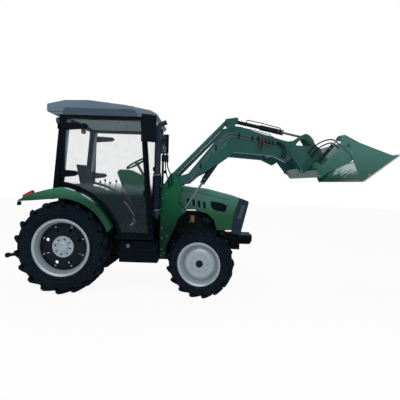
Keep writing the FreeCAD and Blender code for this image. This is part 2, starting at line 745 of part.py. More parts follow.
def hitch_links():
    """The lower hitch links with their lift rods."""
    foot = (-200.0, 560.0)
    start, end = Vector(foot[0], 250, foot[1]), Vector(LINK_END[0], LINK_END_Y, LINK_END[1])
    arm = rod(start, start + (end - start) * 0.97, 26.0)
    ball = rod((LINK_END[0], LINK_END_Y - 22, LINK_END[1]),
               (LINK_END[0], LINK_END_Y + 22, LINK_END[1]), 40.0)
    bore = rod((LINK_END[0], LINK_END_Y - 30, LINK_END[1]),
               (LINK_END[0], LINK_END_Y + 30, LINK_END[1]), 14.0)
    foot_pin = rod((foot[0], BODY_HALF, foot[1]), (foot[0], 280, foot[1]), 24.0)
    rocker = fuse(rod((-215, 0, 930), (-215, 240, 930), 34.0),
                  rod((-215, 215, 930), (-560, 260, 980), 24.0))
    lift = rod((-560, 262, 980), (-640, 305, 527), 15.0)
    web = box((-250, -180), (0, 120), (FLOOR_Z - FLOOR_T, 930))
    half = fuse(arm, ball, foot_pin).cut(bore)
    side = fuse(half, lift, rocker, web)
    return fuse(side, mirrored(side))


def drawbar():
    """The drawbar and the power take-off shaft."""
    bar = box((-620, -200), (-40, 40), (400, 432))
    hole = rod((-570, 0, 390), (-570, 0, 440), 16.0)
    hanger = box((-240, -200), (-60, 60), (432, 500))
    shaft = rod((-380, 0, 640), (-260, 0, 640), 17.5)
    return group(fuse(bar, hanger).cut(hole), shaft)


# ---------------------------------------------------------------- loader

def tower_outline():
    """The side outline of the tower plates."""
    x, z = BOOM_PIN
    foot_x, foot_z = LIFT_FOOT
    level_x, level_z = LEVEL_FOOT
    return [(TOWER_REAR, 900), (TOWER_REAR, 1560), (1490, 1700), (level_x - 42, level_z + 12),
            (level_x - 12, level_z + 42), (level_x + 38, level_z + 26), (x + 56, z + 52),
            (x + 78, z - 20), (1768, 1660), (1728, 1420), (foot_x - 20, foot_z + 60),
            (foot_x + 46, foot_z + 22), (foot_x + 46, foot_z - 22), (foot_x - 10, foot_z - 60),
            (1735, 1180), (1690, 1040), (1640, 940), (1600, 840)]


def loader_towers():
    """The loader's two towers with their legs, pins and mounting brackets."""
    inner = ARM_Y - ARM_HALF - TOWER_GAP
    outer = ARM_Y + ARM_HALF + TOWER_GAP
    outline = tower_outline()
    plates = fuse(slab(outline, inner - TOWER_T, inner), slab(outline, outer, outer + TOWER_T))
    rear_web = slab([(TOWER_REAR, 900), (TOWER_REAR, 1560), (TOWER_REAR + 15, 1560),
                     (TOWER_REAR + 15, 900)], inner - TOWER_T, outer + TOWER_T)
    leg = slab([(TOWER_REAR, 540), (1545, 540), (1545, 700), (1600, 840), (1600, 930),
                (TOWER_REAR, 930)], inner - TOWER_T, outer + TOWER_T)
    bracket = box((TOWER_REAR + 5, 1540), (170, inner - TOWER_T), (640, 740))
    boom_pin = cross_rod(BOOM_PIN, BIG_PIN_R, inner - TOWER_T - 8, outer + TOWER_T + 8)
    level_pin = cross_rod(LEVEL_FOOT, PIN_R, inner - TOWER_T - 8, outer + TOWER_T + 8)
    heads = [cross_rod(LIFT_FOOT, 30.0, inner - TOWER_T - 10, inner),
             cross_rod(LIFT_FOOT, 30.0, outer, outer + TOWER_T + 10)]
    side = fuse(plates, rear_web, leg, bracket, boom_pin, level_pin, *heads)
    return both(side)


VALVE_HOSES = (
    ((1508, -536, 2060), (1508, -536, 1985), (1522, -575, 1905), (1545, -610, 1830),
     (1578, -612, 1745), (1572, -612, 1650), (1572, -572, 1650)),
    ((1536, -536, 2060), (1536, -536, 1990), (1570, -585, 1920), (1600, -612, 1850),
     (1624, -612, 1770), (1616, -612, 1690), (1616, -572, 1690)),
)
COUPLER_HOSES = (
    ((3190, -586, 2414), (3270, -586, 2414), (3346, -600, 2356), (3382, -604, 2268),
     (3376, -604, 2214), (3352, -604, 2172), (3352, -555, 2172)),
    ((3190, -586, 2394), (3250, -586, 2394), (3308, -600, 2334), (3340, -604, 2262),
     (3332, -604, 2220), (3308, -604, 2186), (3308, -555, 2186)),
)


def bucket_routes():
    """The routes of the left bucket hoses, from the carrier to the blade's back."""
    routes = []
    for start, middle, y, length in (
            ((3722, 2262), [(3748, 690, 2330), (3830, 745, 2402), (3935, 770, 2450),
                            (4035, 775, 2456)], 775.0, 530.0),
            ((3770, 2222), [(3800, 720, 2300), (3880, 785, 2364), (3950, 812, 2396),
                            (4005, 818, 2400)], 818.0, 470.0)):
        near, end = back_point(length, 60.0), back_point(length)
        routes.append([(start[0], 573, start[1]), (start[0], 630, start[1])] + middle
                      + [(near[0], y, near[1]), (end[0], y, end[1])])
    return routes


def hose_runs(routes, radius, bend):
    """Hoses along their routes."""
    return group(*[tube_path(route, radius, bend) for route in routes])


def loader_valve():
    """The loader's valve block on its post beside the right tower."""
    post = box((1452, 1484), (-560, -516), (1560, 2062))
    block = box((1446, 1552), (-572, -500), (2060, 2166))
    spools = [rod((x, -536, 2160), (x, -536, 2196), 15.0) for x in (1474, 1524)]
    return fuse(post, block, *spools)


def valve_hoses():
    """The hoses from the valve block to the ports on the tower."""
    return hose_runs(VALVE_HOSES, 9.0, 26.0)


def boom_coupler():
    """The quick coupler block on the right arm."""
    face = -ARM_Y - ARM_HALF
    plate = slab([(2930, 2492), (3196, 2428), (3186, 2376), (2918, 2440)], face - 6, face)
    block = slab([(2945, 2480), (3190, 2426), (3190, 2382), (2936, 2444)], face - 42, face - 6)
    lever = box((2958, 3000), (face - 30, face - 6), (2300, 2430))
    return fuse(plate, block, lever)


def coupler_hoses():
    """The hoses from the coupler block to the end of the right arm."""
    return hose_runs(COUPLER_HOSES, 9.0, 30.0)


def bucket_hoses():
    """The hoses from the carrier to the back of the bucket, on both sides."""
    return both(hose_runs(bucket_routes(), 10.0, 30.0))


def boom_outline():
    """The side outline of a boom arm, with its root, knee and front boss."""
    x, z = BOOM_PIN
    kx, kz = CRANK_PIN
    gx, gz = CARRIER_PIN
    return [(x - 36, z + 24), (x + 60, z + 100), (1869, 1889), (2376, 2532), (2425, 2582),
            (kx - 52, kz + 4), (kx - 30, kz + 30), (kx + 30, kz + 46), (kx + 70, kz + 30),
            (2675, 2637), (2843, 2586), (3432, 2423), (gx + 30, gz + 66), (gx + 68, gz + 20),
            (gx + 62, gz - 34), (gx + 5, gz - 96), (3389, 2112), (3179, 2207), (2575, 2242),
            (2177, 1944), (2025, 1867), (1864, 1723), (x + 30, z - 48), (x - 30, z - 44)]


def barrel_slot():
    """The room under the knee in which the lift barrel swings."""
    width = LIFT_BARREL_R + CLEAR + 3.0
    rest = heading(LIFT_HEAD, LIFT_FOOT) + 360.0
    low, high = rest - 8.0, rest + 15.0
    a = polar(LIFT_HEAD, width, low - 90)
    c = polar(LIFT_HEAD, width, high + 90)
    inside = ARM_HALF - ARM_WALL
    wedge = slab([a, polar(a, 760, low), polar(c, 760, high), c], ARM_Y - inside, ARM_Y + inside)
    return fuse(wedge, cross_rod(LIFT_HEAD, width, ARM_Y - inside, ARM_Y + inside))


def boom():
    """The two boom arms with their cross tube."""
    low, high = ARM_Y - ARM_HALF, ARM_Y + ARM_HALF
    arm = slab(boom_outline(), low, high).cut(barrel_slot())
    arm = arm.fuse(cross_rod(LIFT_HEAD, PIN_R, low - 5, high + 5))
    arm = bored(arm, cross_rod(BOOM_PIN, BIG_PIN_R + RUN_FIT, low - 9, high + 9),
                cross_rod(CRANK_PIN, PIN_R + RUN_FIT, low - 9, high + 9),
                cross_rod(CARRIER_PIN, BIG_PIN_R + RUN_FIT, low - 9, high + 9))
    tube = cross_rod(BOOM_TUBE, 50.0, -low, low)
    return fuse(arm, mirrored(arm), tube)


def boom_pipes():
    """The two hydraulic pipes along the outer face of each arm."""
    face = ARM_Y + ARM_HALF
    pipes = []
    for drop in (0.0, 46.0):
        route = [(1905, face + 8, 1840 - drop), (2405, face + 8, 2470 - drop),
                 (2520, face + 8, 2540 - drop), (2915, face + 8, 2474 - drop)]
        pipes.append(tube_path(route, 8.0, 90.0))
    return both(group(*pipes))


def at_side(a, b, length, y):
    """The 3-D point at a length from a towards b, in the plane y."""
    x, z = between(a, b, length)
    return (x, y, z)


def lift_barrels():
    """The lift cylinders' barrels, hung from the knees of the boom."""
    def along(length):
        return at_side(LIFT_HEAD, LIFT_FOOT, length, ARM_Y)
    body = rod(along(20), along(LIFT_BARREL_L), LIFT_BARREL_R)
    eye = cross_rod(LIFT_HEAD, 34.0, ARM_Y - 36, ARM_Y + 36)
    bore = rod(along(50), along(LIFT_BARREL_L + 1), LIFT_ROD_R + RUN_FIT)
    barrel = bored(fuse(body, eye), bore, cross_rod(LIFT_HEAD, PIN_R + RUN_FIT, 400, 600))
    return both(barrel)


def lift_rods():
    """The lift cylinders' rods with their eyes at the towers."""
    def along(length):
        return at_side(LIFT_FOOT, LIFT_HEAD, length, ARM_Y)
    eye = cross_rod(LIFT_FOOT, 32.0, ARM_Y - 36, ARM_Y + 36)
    return both(fuse(rod(along(0), along(LIFT_ROD_L), LIFT_ROD_R), eye))


def crank_layers():
    """The two plate layers on either side of an arm, as (low, high) pairs along Y."""
    near, far = ARM_HALF + CRANK_GAP, ARM_HALF + CRANK_GAP + PLATE_T
    return ((ARM_Y - far, ARM_Y - near), (ARM_Y + near, ARM_Y + far))


def bell_cranks():
    """The triangular cranks on both faces of the boom's knees."""
    (low_in, low_out), (high_in, high_out) = crank_layers()
    plates = []
    for low, high in crank_layers():
        web = slab([CRANK_PIN, CRANK_REAR, CRANK_FRONT], low, high)
        plates.append(fuse(web, link_plate(CRANK_PIN, CRANK_REAR, 40, 34, low, high),
                           link_plate(CRANK_PIN, CRANK_FRONT, 40, 34, low, high),
                           link_plate(CRANK_REAR, CRANK_FRONT, 34, 34, low, high)))
    main_pin = cross_rod(CRANK_PIN, PIN_R, low_in - 6, high_out + 6)
    rear_pin = cross_rod(CRANK_REAR, PIN_R, low_in - 6, high_out + 6)
    crank = fuse(plates[0], main_pin, rear_pin, plates[1])
    return both(crank.cut(cross_rod(CRANK_FRONT, PIN_R + RUN_FIT, 400, 600)))


def crank_pins():
    """The long pins that carry the tilt cylinders beside the cranks."""
    high_out = crank_layers()[1][1]
    return both(cross_rod(CRANK_FRONT, PIN_R, TILT_Y - 32, high_out + 6))


def level_rods():
    """The levelling rods between the towers and the cranks."""
    def along(length):
        return at_side(LEVEL_FOOT, CRANK_REAR, length, ARM_Y)
    reach = span(LEVEL_FOOT, CRANK_REAR)
    eyes = [cross_rod(point, 34.0, ARM_Y - 30, ARM_Y + 30) for point in (LEVEL_FOOT, CRANK_REAR)]
    tube = rod(along(0), along(reach), LEVEL_ROD_R)
    bar = fuse(eyes[0], tube, eyes[1])
    return both(bored(bar, cross_rod(LEVEL_FOOT, PIN_R + RUN_FIT, 400, 600),
                      cross_rod(CRANK_REAR, PIN_R + RUN_FIT, 400, 600)))


def tilt_barrels():
    """The tilt cylinders' barrels with their slender tails and feed pipes."""
    def along(length, lift=0.0):
        x, z = polar(between(CRANK_FRONT, TILT_EYE, length), lift, TILT_TURN + 90)
        return (x, TILT_Y, z)
    eye = cross_rod(CRANK_FRONT, 32.0, TILT_Y - 28, TILT_Y + 28)
    tail = rod(along(0), along(TILT_TAIL_L), TILT_TAIL_R)
    body = rod(along(TILT_TAIL_L), along(TILT_BARREL_L), TILT_BARREL_R)
    pipe = tube_path([along(180, 15), along(180, 70), along(TILT_TAIL_L, 74),
                      along(740, 62), along(740, 15)], 7.0, 22.0)
    bore = rod(along(335), along(TILT_BARREL_L + 1), TILT_ROD_R + RUN_FIT)
    return both(bored(fuse(eye, tail, body, pipe), bore,
                      cross_rod(CRANK_FRONT, PIN_R + RUN_FIT, 300, 600)))


def tilt_rods():
    """The tilt cylinders' rods with their eyes."""
    def along(length):
        return at_side(TILT_EYE, CRANK_FRONT, length, TILT_Y)
    eye = cross_rod(TILT_EYE, 30.0, TILT_Y - 30, TILT_Y + 30)
    return both(fuse(rod(along(0), along(TILT_ROD_L), TILT_ROD_R), eye))


def carrier_pins():
    """The main pins between the boom and the tool carrier."""
    (low_in, low_out), (high_in, high_out) = crank_layers()
    return both(cross_rod(CARRIER_PIN, BIG_PIN_R, low_in - 6, high_out + 6))


def carrier_outline():
    """The side outline of a carrier plate: boss, arch and frame."""
    gx, gz = CARRIER_PIN
    ex, ez = TILT_EYE
    ux, uz = FRAME_TOP
    lx, lz = FRAME_FOOT
    return [(gx - 48, gz - 10), (gx - 44, gz + 60), (gx - 10, gz + 136), (gx + 40, gz + 186),
            (ex - 64, ez + 2), (ex - 30, ez + 24), (ex + 12, ez + 30), (ex + 62, ez + 4),
            (ex + 112, ez - 50), (ex + 153, ez - 137),
            (ux + 52, uz + 20), (ux + 46, uz - 30), (lx + 60, lz - 14), (lx + 14, lz - 52),
            (lx - 30, lz - 46), (lx - 62, lz + 10), (gx - 30, gz - 62)]


def carrier_window():
    """The triangular opening under the arch."""
    gx, gz = CARRIER_PIN
    ex, ez = TILT_EYE
    return [(gx + 40, gz + 96), (gx + 78, gz + 150), (ex - 62, ez - 56), (ex - 14, ez - 42),
            (ex + 26, ez - 48), (ex + 72, ez - 92), (ex + 104, ez - 160)]


def carrier():
    """The tool carrier: three plates a side, joined by two cross tubes."""
    plates = []
    for low, high in crank_layers():
        plate = slab(carrier_outline(), low, high)
        plate = plate.cut(slab(carrier_window(), low - 1, high + 1))
        bore = cross_rod(CARRIER_PIN, BIG_PIN_R + RUN_FIT, low - 1, high + 1)
        plates.append(plate.cut(bore))
    (low_in, low_out), (high_in, high_out) = crank_layers()
    ex, ez = TILT_EYE
    ux, uz = FRAME_TOP
    lx, lz = FRAME_FOOT
    inner_low = 2 * TILT_Y - low_out
    inner_outline = [(ex - 42, ez - 6), (ex - 24, ez + 24), (ex + 12, ez + 30),
                     (ex + 98, ez - 36), (ex + 153, ez - 137), (ux + 52, uz + 20),
                     (ux + 46, uz - 30), (lx + 60, lz - 14), (lx + 14, lz - 52),
                     (lx - 46, lz), (ux - 130, uz - 60), (ux - 110, uz + 10)]
    inner = slab(inner_outline, inner_low, inner_low + PLATE_T)
    heads = [cross_rod(TILT_EYE, 26.0, inner_low - 10, inner_low),
             cross_rod(TILT_EYE, 26.0, high_out, high_out + 10)]
    tubes = [cross_rod(point, FRAME_TUBE_R, -high_in, high_in) for point in
             (FRAME_TOP, FRAME_FOOT)]
    side = fuse(*plates, inner, *heads)
    return fuse(side, mirrored(side), *tubes)


# ---------------------------------------------------------------- clam bucket

def back_point(length, out=0.0):
    """A point up the blade's back, at a length from its foot and a distance behind it."""
    return polar(polar(BACK_FOOT, length, BACK_TURN), out, BACK_TURN + 90)


def cheek_outline():
    """The side outline of the blade's end plates."""
    px, pz = CLAM_PIN
    lx, lz = BLADE_LIP
    return [BACK_FOOT, back_point(BACK_L), (px + 36, pz + 50), (px + 58, pz + 6),
            (px + 66, pz - 50), (4306, 2178), (4240, 2104), (3904, 1942), (lx, lz)]


def bucket_blade():
    """The bucket's fixed back: blade, end plates, lugs and the hooks on the carrier."""
    inner = BUCKET_HALF - 2 * BUCKET_T - CLAM_GAP
    outer = inner + BUCKET_T
    back = slab([BACK_FOOT, back_point(BACK_L), back_point(BACK_L, -BUCKET_T),
                 back_point(-8, -BUCKET_T)], -inner, inner)
    bevel_turn = heading(BACK_FOOT, BLADE_LIP)
    low_back = polar(BACK_FOOT, BUCKET_T, bevel_turn - 90)
    low_lip = polar(BLADE_LIP, BUCKET_T, bevel_turn - 90)
    bevel = slab([BACK_FOOT, BLADE_LIP, low_lip, low_back], -outer, outer)
    end = slab(cheek_outline(), inner, outer)
    lug_foot = back_point(50, -4)
    outer_lug = link_plate(lug_foot, CLAM_FOOT, 42, 42, inner, outer)
    inner_low = 2 * CLAM_CYL_Y - inner
    inner_lug = link_plate(lug_foot, CLAM_FOOT, 42, 42, inner_low - BUCKET_T, inner_low)
    lug_trim = slab([back_point(-200, -BUCKET_T / 2.0), back_point(BACK_L, -BUCKET_T / 2.0),
                     back_point(BACK_L, -600), back_point(-200, -600)],
                    inner_low - BUCKET_T - 1, inner_low + 1)
    inner_lug = inner_lug.cut(lug_trim)
    foot_pin = cross_rod(CLAM_FOOT, PIN_R, inner_low - BUCKET_T, outer + 6)
    hinge = cross_rod(CLAM_PIN, BIG_PIN_R, inner - 8, BUCKET_HALF + 10)
    hooks = []
    ux, uz = FRAME_TOP
    lx, lz = FRAME_FOOT
    hook = slab([(lx, lz - FRAME_TUBE_R - 6), back_point(0), back_point(330), (ux + 30, uz + 46),
                 (ux, uz + 46), (ux, uz - 10), (lx, lz + 6)], 0, 16)
    for y in (462.0, 522.0, 180.0):
        piece = hook.copy()
        piece.translate(Vector(0, y, 0))
        hooks.append(piece)
    half = fuse(end, outer_lug, inner_lug, foot_pin, hinge, *hooks)
    blade = fuse(back, bevel, half, mirrored(half))
    return bored(blade, *[cross_rod(point, FRAME_TUBE_R, -BUCKET_HALF, BUCKET_HALF)
                          for point in (FRAME_TOP, FRAME_FOOT)])


def clam_outline():
    """The side outline of the clam's end plates, with their rear ears."""
    px, pz = CLAM_PIN
    ex, ez = CLAM_HEAD
    return [(ex - 40, ez - 4), (ex - 26, ez + 32), (ex + 8, ez + 44), (ex + 76, ez + 58),
            (4363, 2403), (4867, 2228), CLAM_TIP, CLAM_HEEL, (px + 40, pz - 120),
            (px - 56, pz - 44), (ex + 20, ez - 46), (ex - 22, ez - 34)]


def clam():
    """The bucket's moving front: floor, end plates and ears."""
    inner = BUCKET_HALF - BUCKET_T
    end = slab(clam_outline(), inner, BUCKET_HALF)
    head = cross_rod(CLAM_HEAD, 24.0, CLAM_CYL_Y + CLAM_EYE_HALF + CLEAR, BUCKET_HALF + 10)
    side = fuse(end, head)
    side = side.cut(cross_rod(CLAM_PIN, BIG_PIN_R + RUN_FIT, inner - 1, BUCKET_HALF + 1))
    rise = heading(CLAM_HEEL, CLAM_TIP)
    length = span(CLAM_HEEL, CLAM_TIP)
    heel = polar(CLAM_HEEL, 12, rise)
    floor = slab([heel, CLAM_TIP, polar(polar(CLAM_HEEL, length - 30, rise), 16, rise + 90),
                  polar(heel, 16, rise + 90)], -inner, inner)
    return fuse(floor, side, mirrored(side))


def clam_barrels():
    """The clam cylinders' barrels, pinned behind the blade's end plates."""
    def along(length):
        return at_side(CLAM_FOOT, CLAM_HEAD, length, CLAM_CYL_Y)
    neck = rod(along(0), along(62), 20.0)
    body = rod(along(54), along(CLAM_BARREL_L), CLAM_BARREL_R)
    eye = cross_rod(CLAM_FOOT, 32.0, CLAM_CYL_Y - CLAM_EYE_HALF, CLAM_CYL_Y + CLAM_EYE_HALF)
    bore = rod(along(90), along(CLAM_BARREL_L + 1), CLAM_ROD_R + RUN_FIT)
    return both(bored(fuse(neck, body, eye), bore,
                      cross_rod(CLAM_FOOT, PIN_R + RUN_FIT, 700, 1000)))


def clam_rods():
    """The clam cylinders' rods with their eyes at the ears."""
    def along(length):
        return at_side(CLAM_HEAD, CLAM_FOOT, length, CLAM_CYL_Y)
    eye = cross_rod(CLAM_HEAD, 26.0, CLAM_CYL_Y - CLAM_EYE_HALF, CLAM_CYL_Y + CLAM_EYE_HALF)
    return both(fuse(rod(along(0), along(CLAM_ROD_L), CLAM_ROD_R), eye))


# ---------------------------------------------------------------- all parts

def build():
    """Every part by its name."""
    parts = {
        "rear_axle_case": rear_axle(),
        "front_frame": front_frame(),
        "engine_block": engine(),
        "front_axle": front_axle(),
        "tie_rod": tie_rod(),
        "hood": hood(),
        "nose_grille": grille(),
        "hood_panels": hood_panels(),
        "rear_fenders": fenders(),
        "cab_base": cab_base(),
        "cab_frame": cab_frame(),
        "cab_roof": cab_roof(),
        "windscreen": windscreen(),
        "rear_window": rear_window(),
        "door_hinges": door_hinges(),
        "driver_seat": seat(),
        "dash_console": console(),
        "steering_wheel": steering_wheel(),
        "side_boxes": side_boxes(),
        "exhaust_stack": exhaust(),
        "mirrors": mirrors(),
        "lamps": lamps(),
        "tail_lamps": tail_lamps(),
        "hitch_links": hitch_links(),
        "drawbar": drawbar(),
        "loader_towers": loader_towers(),
        "boom": boom(),
        "boom_pipes": boom_pipes(),
        "loader_valve": loader_valve(),
        "valve_hoses": valve_hoses(),
        "boom_coupler": boom_coupler(),
        "coupler_hoses": coupler_hoses(),
        "bucket_hoses": bucket_hoses(),
        "lift_barrels": lift_barrels(),
        "lift_rods": lift_rods(),
        "bell_cranks": bell_cranks(),
        "crank_pins": crank_pins(),
        "level_rods": level_rods(),
        "tilt_barrels": tilt_barrels(),
        "tilt_rods": tilt_rods(),
        "carrier_pins": carrier_pins(),
        "tool_carrier": carrier(),
        "bucket_blade": bucket_blade(),
        "bucket_clam": clam(),
        "clam_barrels": clam_barrels(),
        "clam_rods": clam_rods(),
    }
    for name, side in (("left", 1), ("right", -1)):
        rubber, metal = rear_wheel(side)
        parts["rear_tyre_" + name] = rubber
        parts["rear_rim_" + name] = metal
        rubber, metal = front_wheel(side)
        parts["front_tyre_" + name] = rubber
        parts["front_rim_" + name] = metal
        parts["knuckle_" + name] = knuckle(side)
        parts["door_frame_" + name] = door_frame(side)
        parts["door_glass_" + name] = door_glass(side)
    return parts


os.makedirs("parts", exist_ok=True)
for part_name, part_shape in build().items():
    placed = part_shape.copy()
    placed.translate(Vector(-MIDDLE_X, 0, 0))
    placed.exportStep("parts/" + part_name + ".step")
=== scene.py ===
"""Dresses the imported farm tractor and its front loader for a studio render.

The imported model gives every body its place.  This script adds the tyres' tread, the
dished rims, the bodywork's rounded forms and the loader's fittings, and gives every
surface a procedural finish.  Lengths below are in millimetres, counted along X from the
rear axle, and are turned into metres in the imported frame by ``at``.
"""

import json
import logging
import math
from dataclasses import dataclass
from enum import Enum
from typing import Sequence

import bmesh
import bpy
from mathutils import Matrix, Vector

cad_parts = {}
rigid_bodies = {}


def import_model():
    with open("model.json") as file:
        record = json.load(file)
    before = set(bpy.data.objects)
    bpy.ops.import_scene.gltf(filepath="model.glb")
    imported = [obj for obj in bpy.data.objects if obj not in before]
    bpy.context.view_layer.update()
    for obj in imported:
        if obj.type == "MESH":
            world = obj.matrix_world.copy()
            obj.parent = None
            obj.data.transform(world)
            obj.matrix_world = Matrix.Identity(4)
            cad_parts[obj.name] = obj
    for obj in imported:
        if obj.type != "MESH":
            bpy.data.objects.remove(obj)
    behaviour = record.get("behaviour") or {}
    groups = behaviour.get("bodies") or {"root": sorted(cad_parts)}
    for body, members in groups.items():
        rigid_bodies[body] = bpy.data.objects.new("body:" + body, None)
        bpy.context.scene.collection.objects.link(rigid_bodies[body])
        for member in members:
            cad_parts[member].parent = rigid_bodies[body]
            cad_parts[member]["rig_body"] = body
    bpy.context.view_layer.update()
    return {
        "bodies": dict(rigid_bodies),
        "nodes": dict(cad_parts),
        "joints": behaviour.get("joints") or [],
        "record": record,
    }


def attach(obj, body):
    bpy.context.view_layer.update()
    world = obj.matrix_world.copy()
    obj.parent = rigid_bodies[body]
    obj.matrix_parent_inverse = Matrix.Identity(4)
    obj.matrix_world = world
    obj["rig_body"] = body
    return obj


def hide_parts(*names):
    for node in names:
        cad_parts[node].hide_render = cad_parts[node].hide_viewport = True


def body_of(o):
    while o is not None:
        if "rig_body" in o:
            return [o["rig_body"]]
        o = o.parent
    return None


LOG = logging.getLogger("tractor")
MIDDLE_X = 1944.0
Point = tuple[float, float, float]
Flat = tuple[float, float]


def at(x: float, y: float, z: float) -> Vector:
    """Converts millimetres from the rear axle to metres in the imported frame.

    Args:
        x: Distance ahead of the rear axle.
        y: Distance to the left of the middle.
        z: Height above the ground.

    Returns:
        The point in metres.
    """
    return Vector(((x - MIDDLE_X) / 1000.0, y / 1000.0, z / 1000.0))


def route(side: int, *points: Point) -> list[Vector]:
    """Points on one side of the machine.

    Args:
        side: 1 on the left, -1 on the right.
        *points: The points in millimetres, as they are on the left.

    Returns:
        The points in metres.
    """
    return [at(x, side * y, z) for x, y, z in points]


# ---------------------------------------------------------------- finishes

class Look(Enum):
    """The kinds of surface on the machine."""

    GREEN = "green_paint"
    HOOD = "hood_paint"
    LOADER = "loader_paint"
    # A darker copy of the green paint: painted shade for the loader towers and the dash console.
    TOWER = "tower_paint"
    CAST = "cast_grey"
    BLACK = "black_paint"
    PLASTIC = "black_plastic"
    ROOF = "roof_plastic"
    PANEL = "roof_panel"
    GLASS = "tinted_glass"
    STEEL = "dark_steel"
    CHROME = "rod_chrome"
    PIN = "pin_steel"
    SEAT = "seat_cover"
    RED = "red_lens"
    LAMP = "lamp_body"
    LENS = "clear_lens"
    STACK = "stack_steel"
    LINER = "roof_liner"
    TYRE = "tyre_rubber"
    RIM = "rim_paint"
    HOSE = "hose_rubber"
    BUCKET = "bucket_paint"
    SCRAPED = "scraped_paint"
    WORN = "worn_steel"
    LEVER = "lever_red"
    FILTER = "filter_tan"
    MIRROR = "mirror_glass"


@dataclass(frozen=True)
class Finish:
    """How one kind of surface takes light.

    Attributes:
        colour: The main colour as an sRGB hex string.
        second: The colour it drifts to.
        drift: How much of the second colour shows, from 0 to 1.
        scale: The size of the drift, in patches a metre.
        rough: Roughness at the middle of its range.
        spread: How far the roughness wanders.
        metal: Metallic value.
        coat: Clear coat weight.
        grain: Patches a metre of the fine bump.
        bump: Depth of the fine bump in millimetres.
        dust: How much pale dust lies low on the piece.
        wear: How much of the paint is rubbed through to bare steel.
        shine: Specular level.
        sheen_and_scrape: The colour that it turns to higher up, or nothing: a painted sky
            reflection on the paints, bare steel on the scraped floor.
        rise: The heights in metres between which it turns.
        ragged: How far the edge between them wanders, in metres.
    """

    colour: str
    second: str
    drift: float = 0.35
    scale: float = 3.0
    rough: float = 0.4
    spread: float = 0.08
    metal: float = 0.0
    coat: float = 0.0
    grain: float = 180.0
    bump: float = 0.15
    dust: float = 0.0
    wear: float = 0.0
    shine: float = 0.16
    sheen_and_scrape: str = ""
    rise: tuple[float, float] = (1.25, 1.6)
    ragged: float = 0.0


# The lighter colours set higher up on the green, hood, tower and bucket paints are a painted sky
# reflection; on the scraped floor that colour is bare steel.
FINISHES: dict[Look, Finish] = {
    Look.GREEN: Finish("#0B3E29", "#134A34", rough=0.26, coat=0.3, bump=0.05, dust=0.02,
                       sheen_and_scrape="#39765C", rise=(1.42, 1.62)),
    Look.HOOD: Finish("#0C4C2A", "#1B6038", scale=1.6, rough=0.24, coat=0.4, bump=0.04,
                      sheen_and_scrape="#447568", rise=(1.2, 1.52)),
    Look.LOADER: Finish("#1B4B46", "#275A54", rough=0.34, coat=0.15, bump=0.1, dust=0.03,
                        wear=0.12),
    # Painted shade: the towers' green is darkened to the shade they stand in.
    Look.TOWER: Finish("#022A1C", "#083524", rough=0.4, coat=0.05, bump=0.1, shine=0.08,
                       sheen_and_scrape="#10573A", rise=(1.0, 1.6)),
    Look.CAST: Finish("#0F171D", "#211F1A", drift=0.5, scale=9.0, rough=0.62, grain=90.0,
                      bump=0.5, dust=0.06, shine=0.08),
    Look.BLACK: Finish("#020A12", "#08131C", rough=0.4, dust=0.02, shine=0.05),
    Look.PLASTIC: Finish("#040F18", "#0B1822", rough=0.5, grain=700.0, bump=0.12, dust=0.02,
                         shine=0.06),
    Look.PANEL: Finish("#394A59", "#455867", rough=0.5, grain=500.0, bump=0.1),
    Look.ROOF: Finish("#5A6B79", "#6C7D8B", scale=1.5, rough=0.42, grain=500.0, bump=0.1),
    Look.STEEL: Finish("#0D1922", "#182530", rough=0.34, coat=0.05, bump=0.06, dust=0.02,
                       shine=0.08),
    Look.STACK: Finish("#1C2C37", "#273945", scale=8.0, rough=0.42, bump=0.1, shine=0.12),
    Look.CHROME: Finish("#747C82", "#5E676D", rough=0.16, spread=0.05, metal=1.0, bump=0.01),
    Look.PIN: Finish("#626C6F", "#4D5659", scale=14.0, rough=0.36, metal=0.85, bump=0.1),
    Look.SEAT: Finish("#0D1419", "#182127", scale=30.0, rough=0.85, grain=900.0, bump=0.35,
                      shine=0.08),
    Look.LINER: Finish("#8A9EA5", "#95A9B0", scale=6.0, rough=0.8, grain=900.0, bump=0.2),
    Look.RED: Finish("#A3181D", "#C5282B", rough=0.22, coat=0.6, grain=60.0, bump=0.3),
    Look.LAMP: Finish("#34424B", "#4A5860", rough=0.2, coat=0.5, grain=90.0, bump=0.2),
    Look.LENS: Finish("#BCC6CB", "#98A4AA", rough=0.18, coat=0.5, grain=90.0, bump=0.2),
    Look.TYRE: Finish("#06111B", "#0F1C27", drift=0.45, scale=5.0, rough=0.7, grain=260.0,
                      bump=0.35, dust=0.05, shine=0.06),
    Look.RIM: Finish("#9EA9B0", "#B3BEC4", scale=4.0, rough=0.3, metal=0.35, coat=0.2,
                     bump=0.08, dust=0.05),
    Look.HOSE: Finish("#080D11", "#131A1F", scale=9.0, rough=0.55, grain=520.0, bump=0.2,
                      dust=0.03, shine=0.08),
    Look.BUCKET: Finish("#194D41", "#2E6156", drift=0.6, scale=3.2, rough=0.36, coat=0.15,
                        bump=0.12, wear=0.35, sheen_and_scrape="#3C6D65", rise=(1.95, 2.3)),
    Look.SCRAPED: Finish("#1F5A4D", "#3A7065", drift=0.6, scale=3.2, rough=0.4, bump=0.15,
                         wear=0.6, sheen_and_scrape="#B7CBCB", rise=(2.0, 2.02), ragged=0.9),
    Look.LEVER: Finish("#6E2226", "#842C2E", rough=0.4, coat=0.3, grain=90.0, bump=0.1),
    Look.FILTER: Finish("#8A6A3C", "#6E5733", scale=20.0, rough=0.45, grain=120.0, bump=0.15),
    Look.MIRROR: Finish("#7F8D93", "#94A1A6", rough=0.06, spread=0.03, metal=0.9, bump=0.01),
    Look.WORN: Finish("#BFC4C2", "#8E9794", scale=12.0, rough=0.42, metal=0.6, grain=120.0,
                      bump=0.2),
}


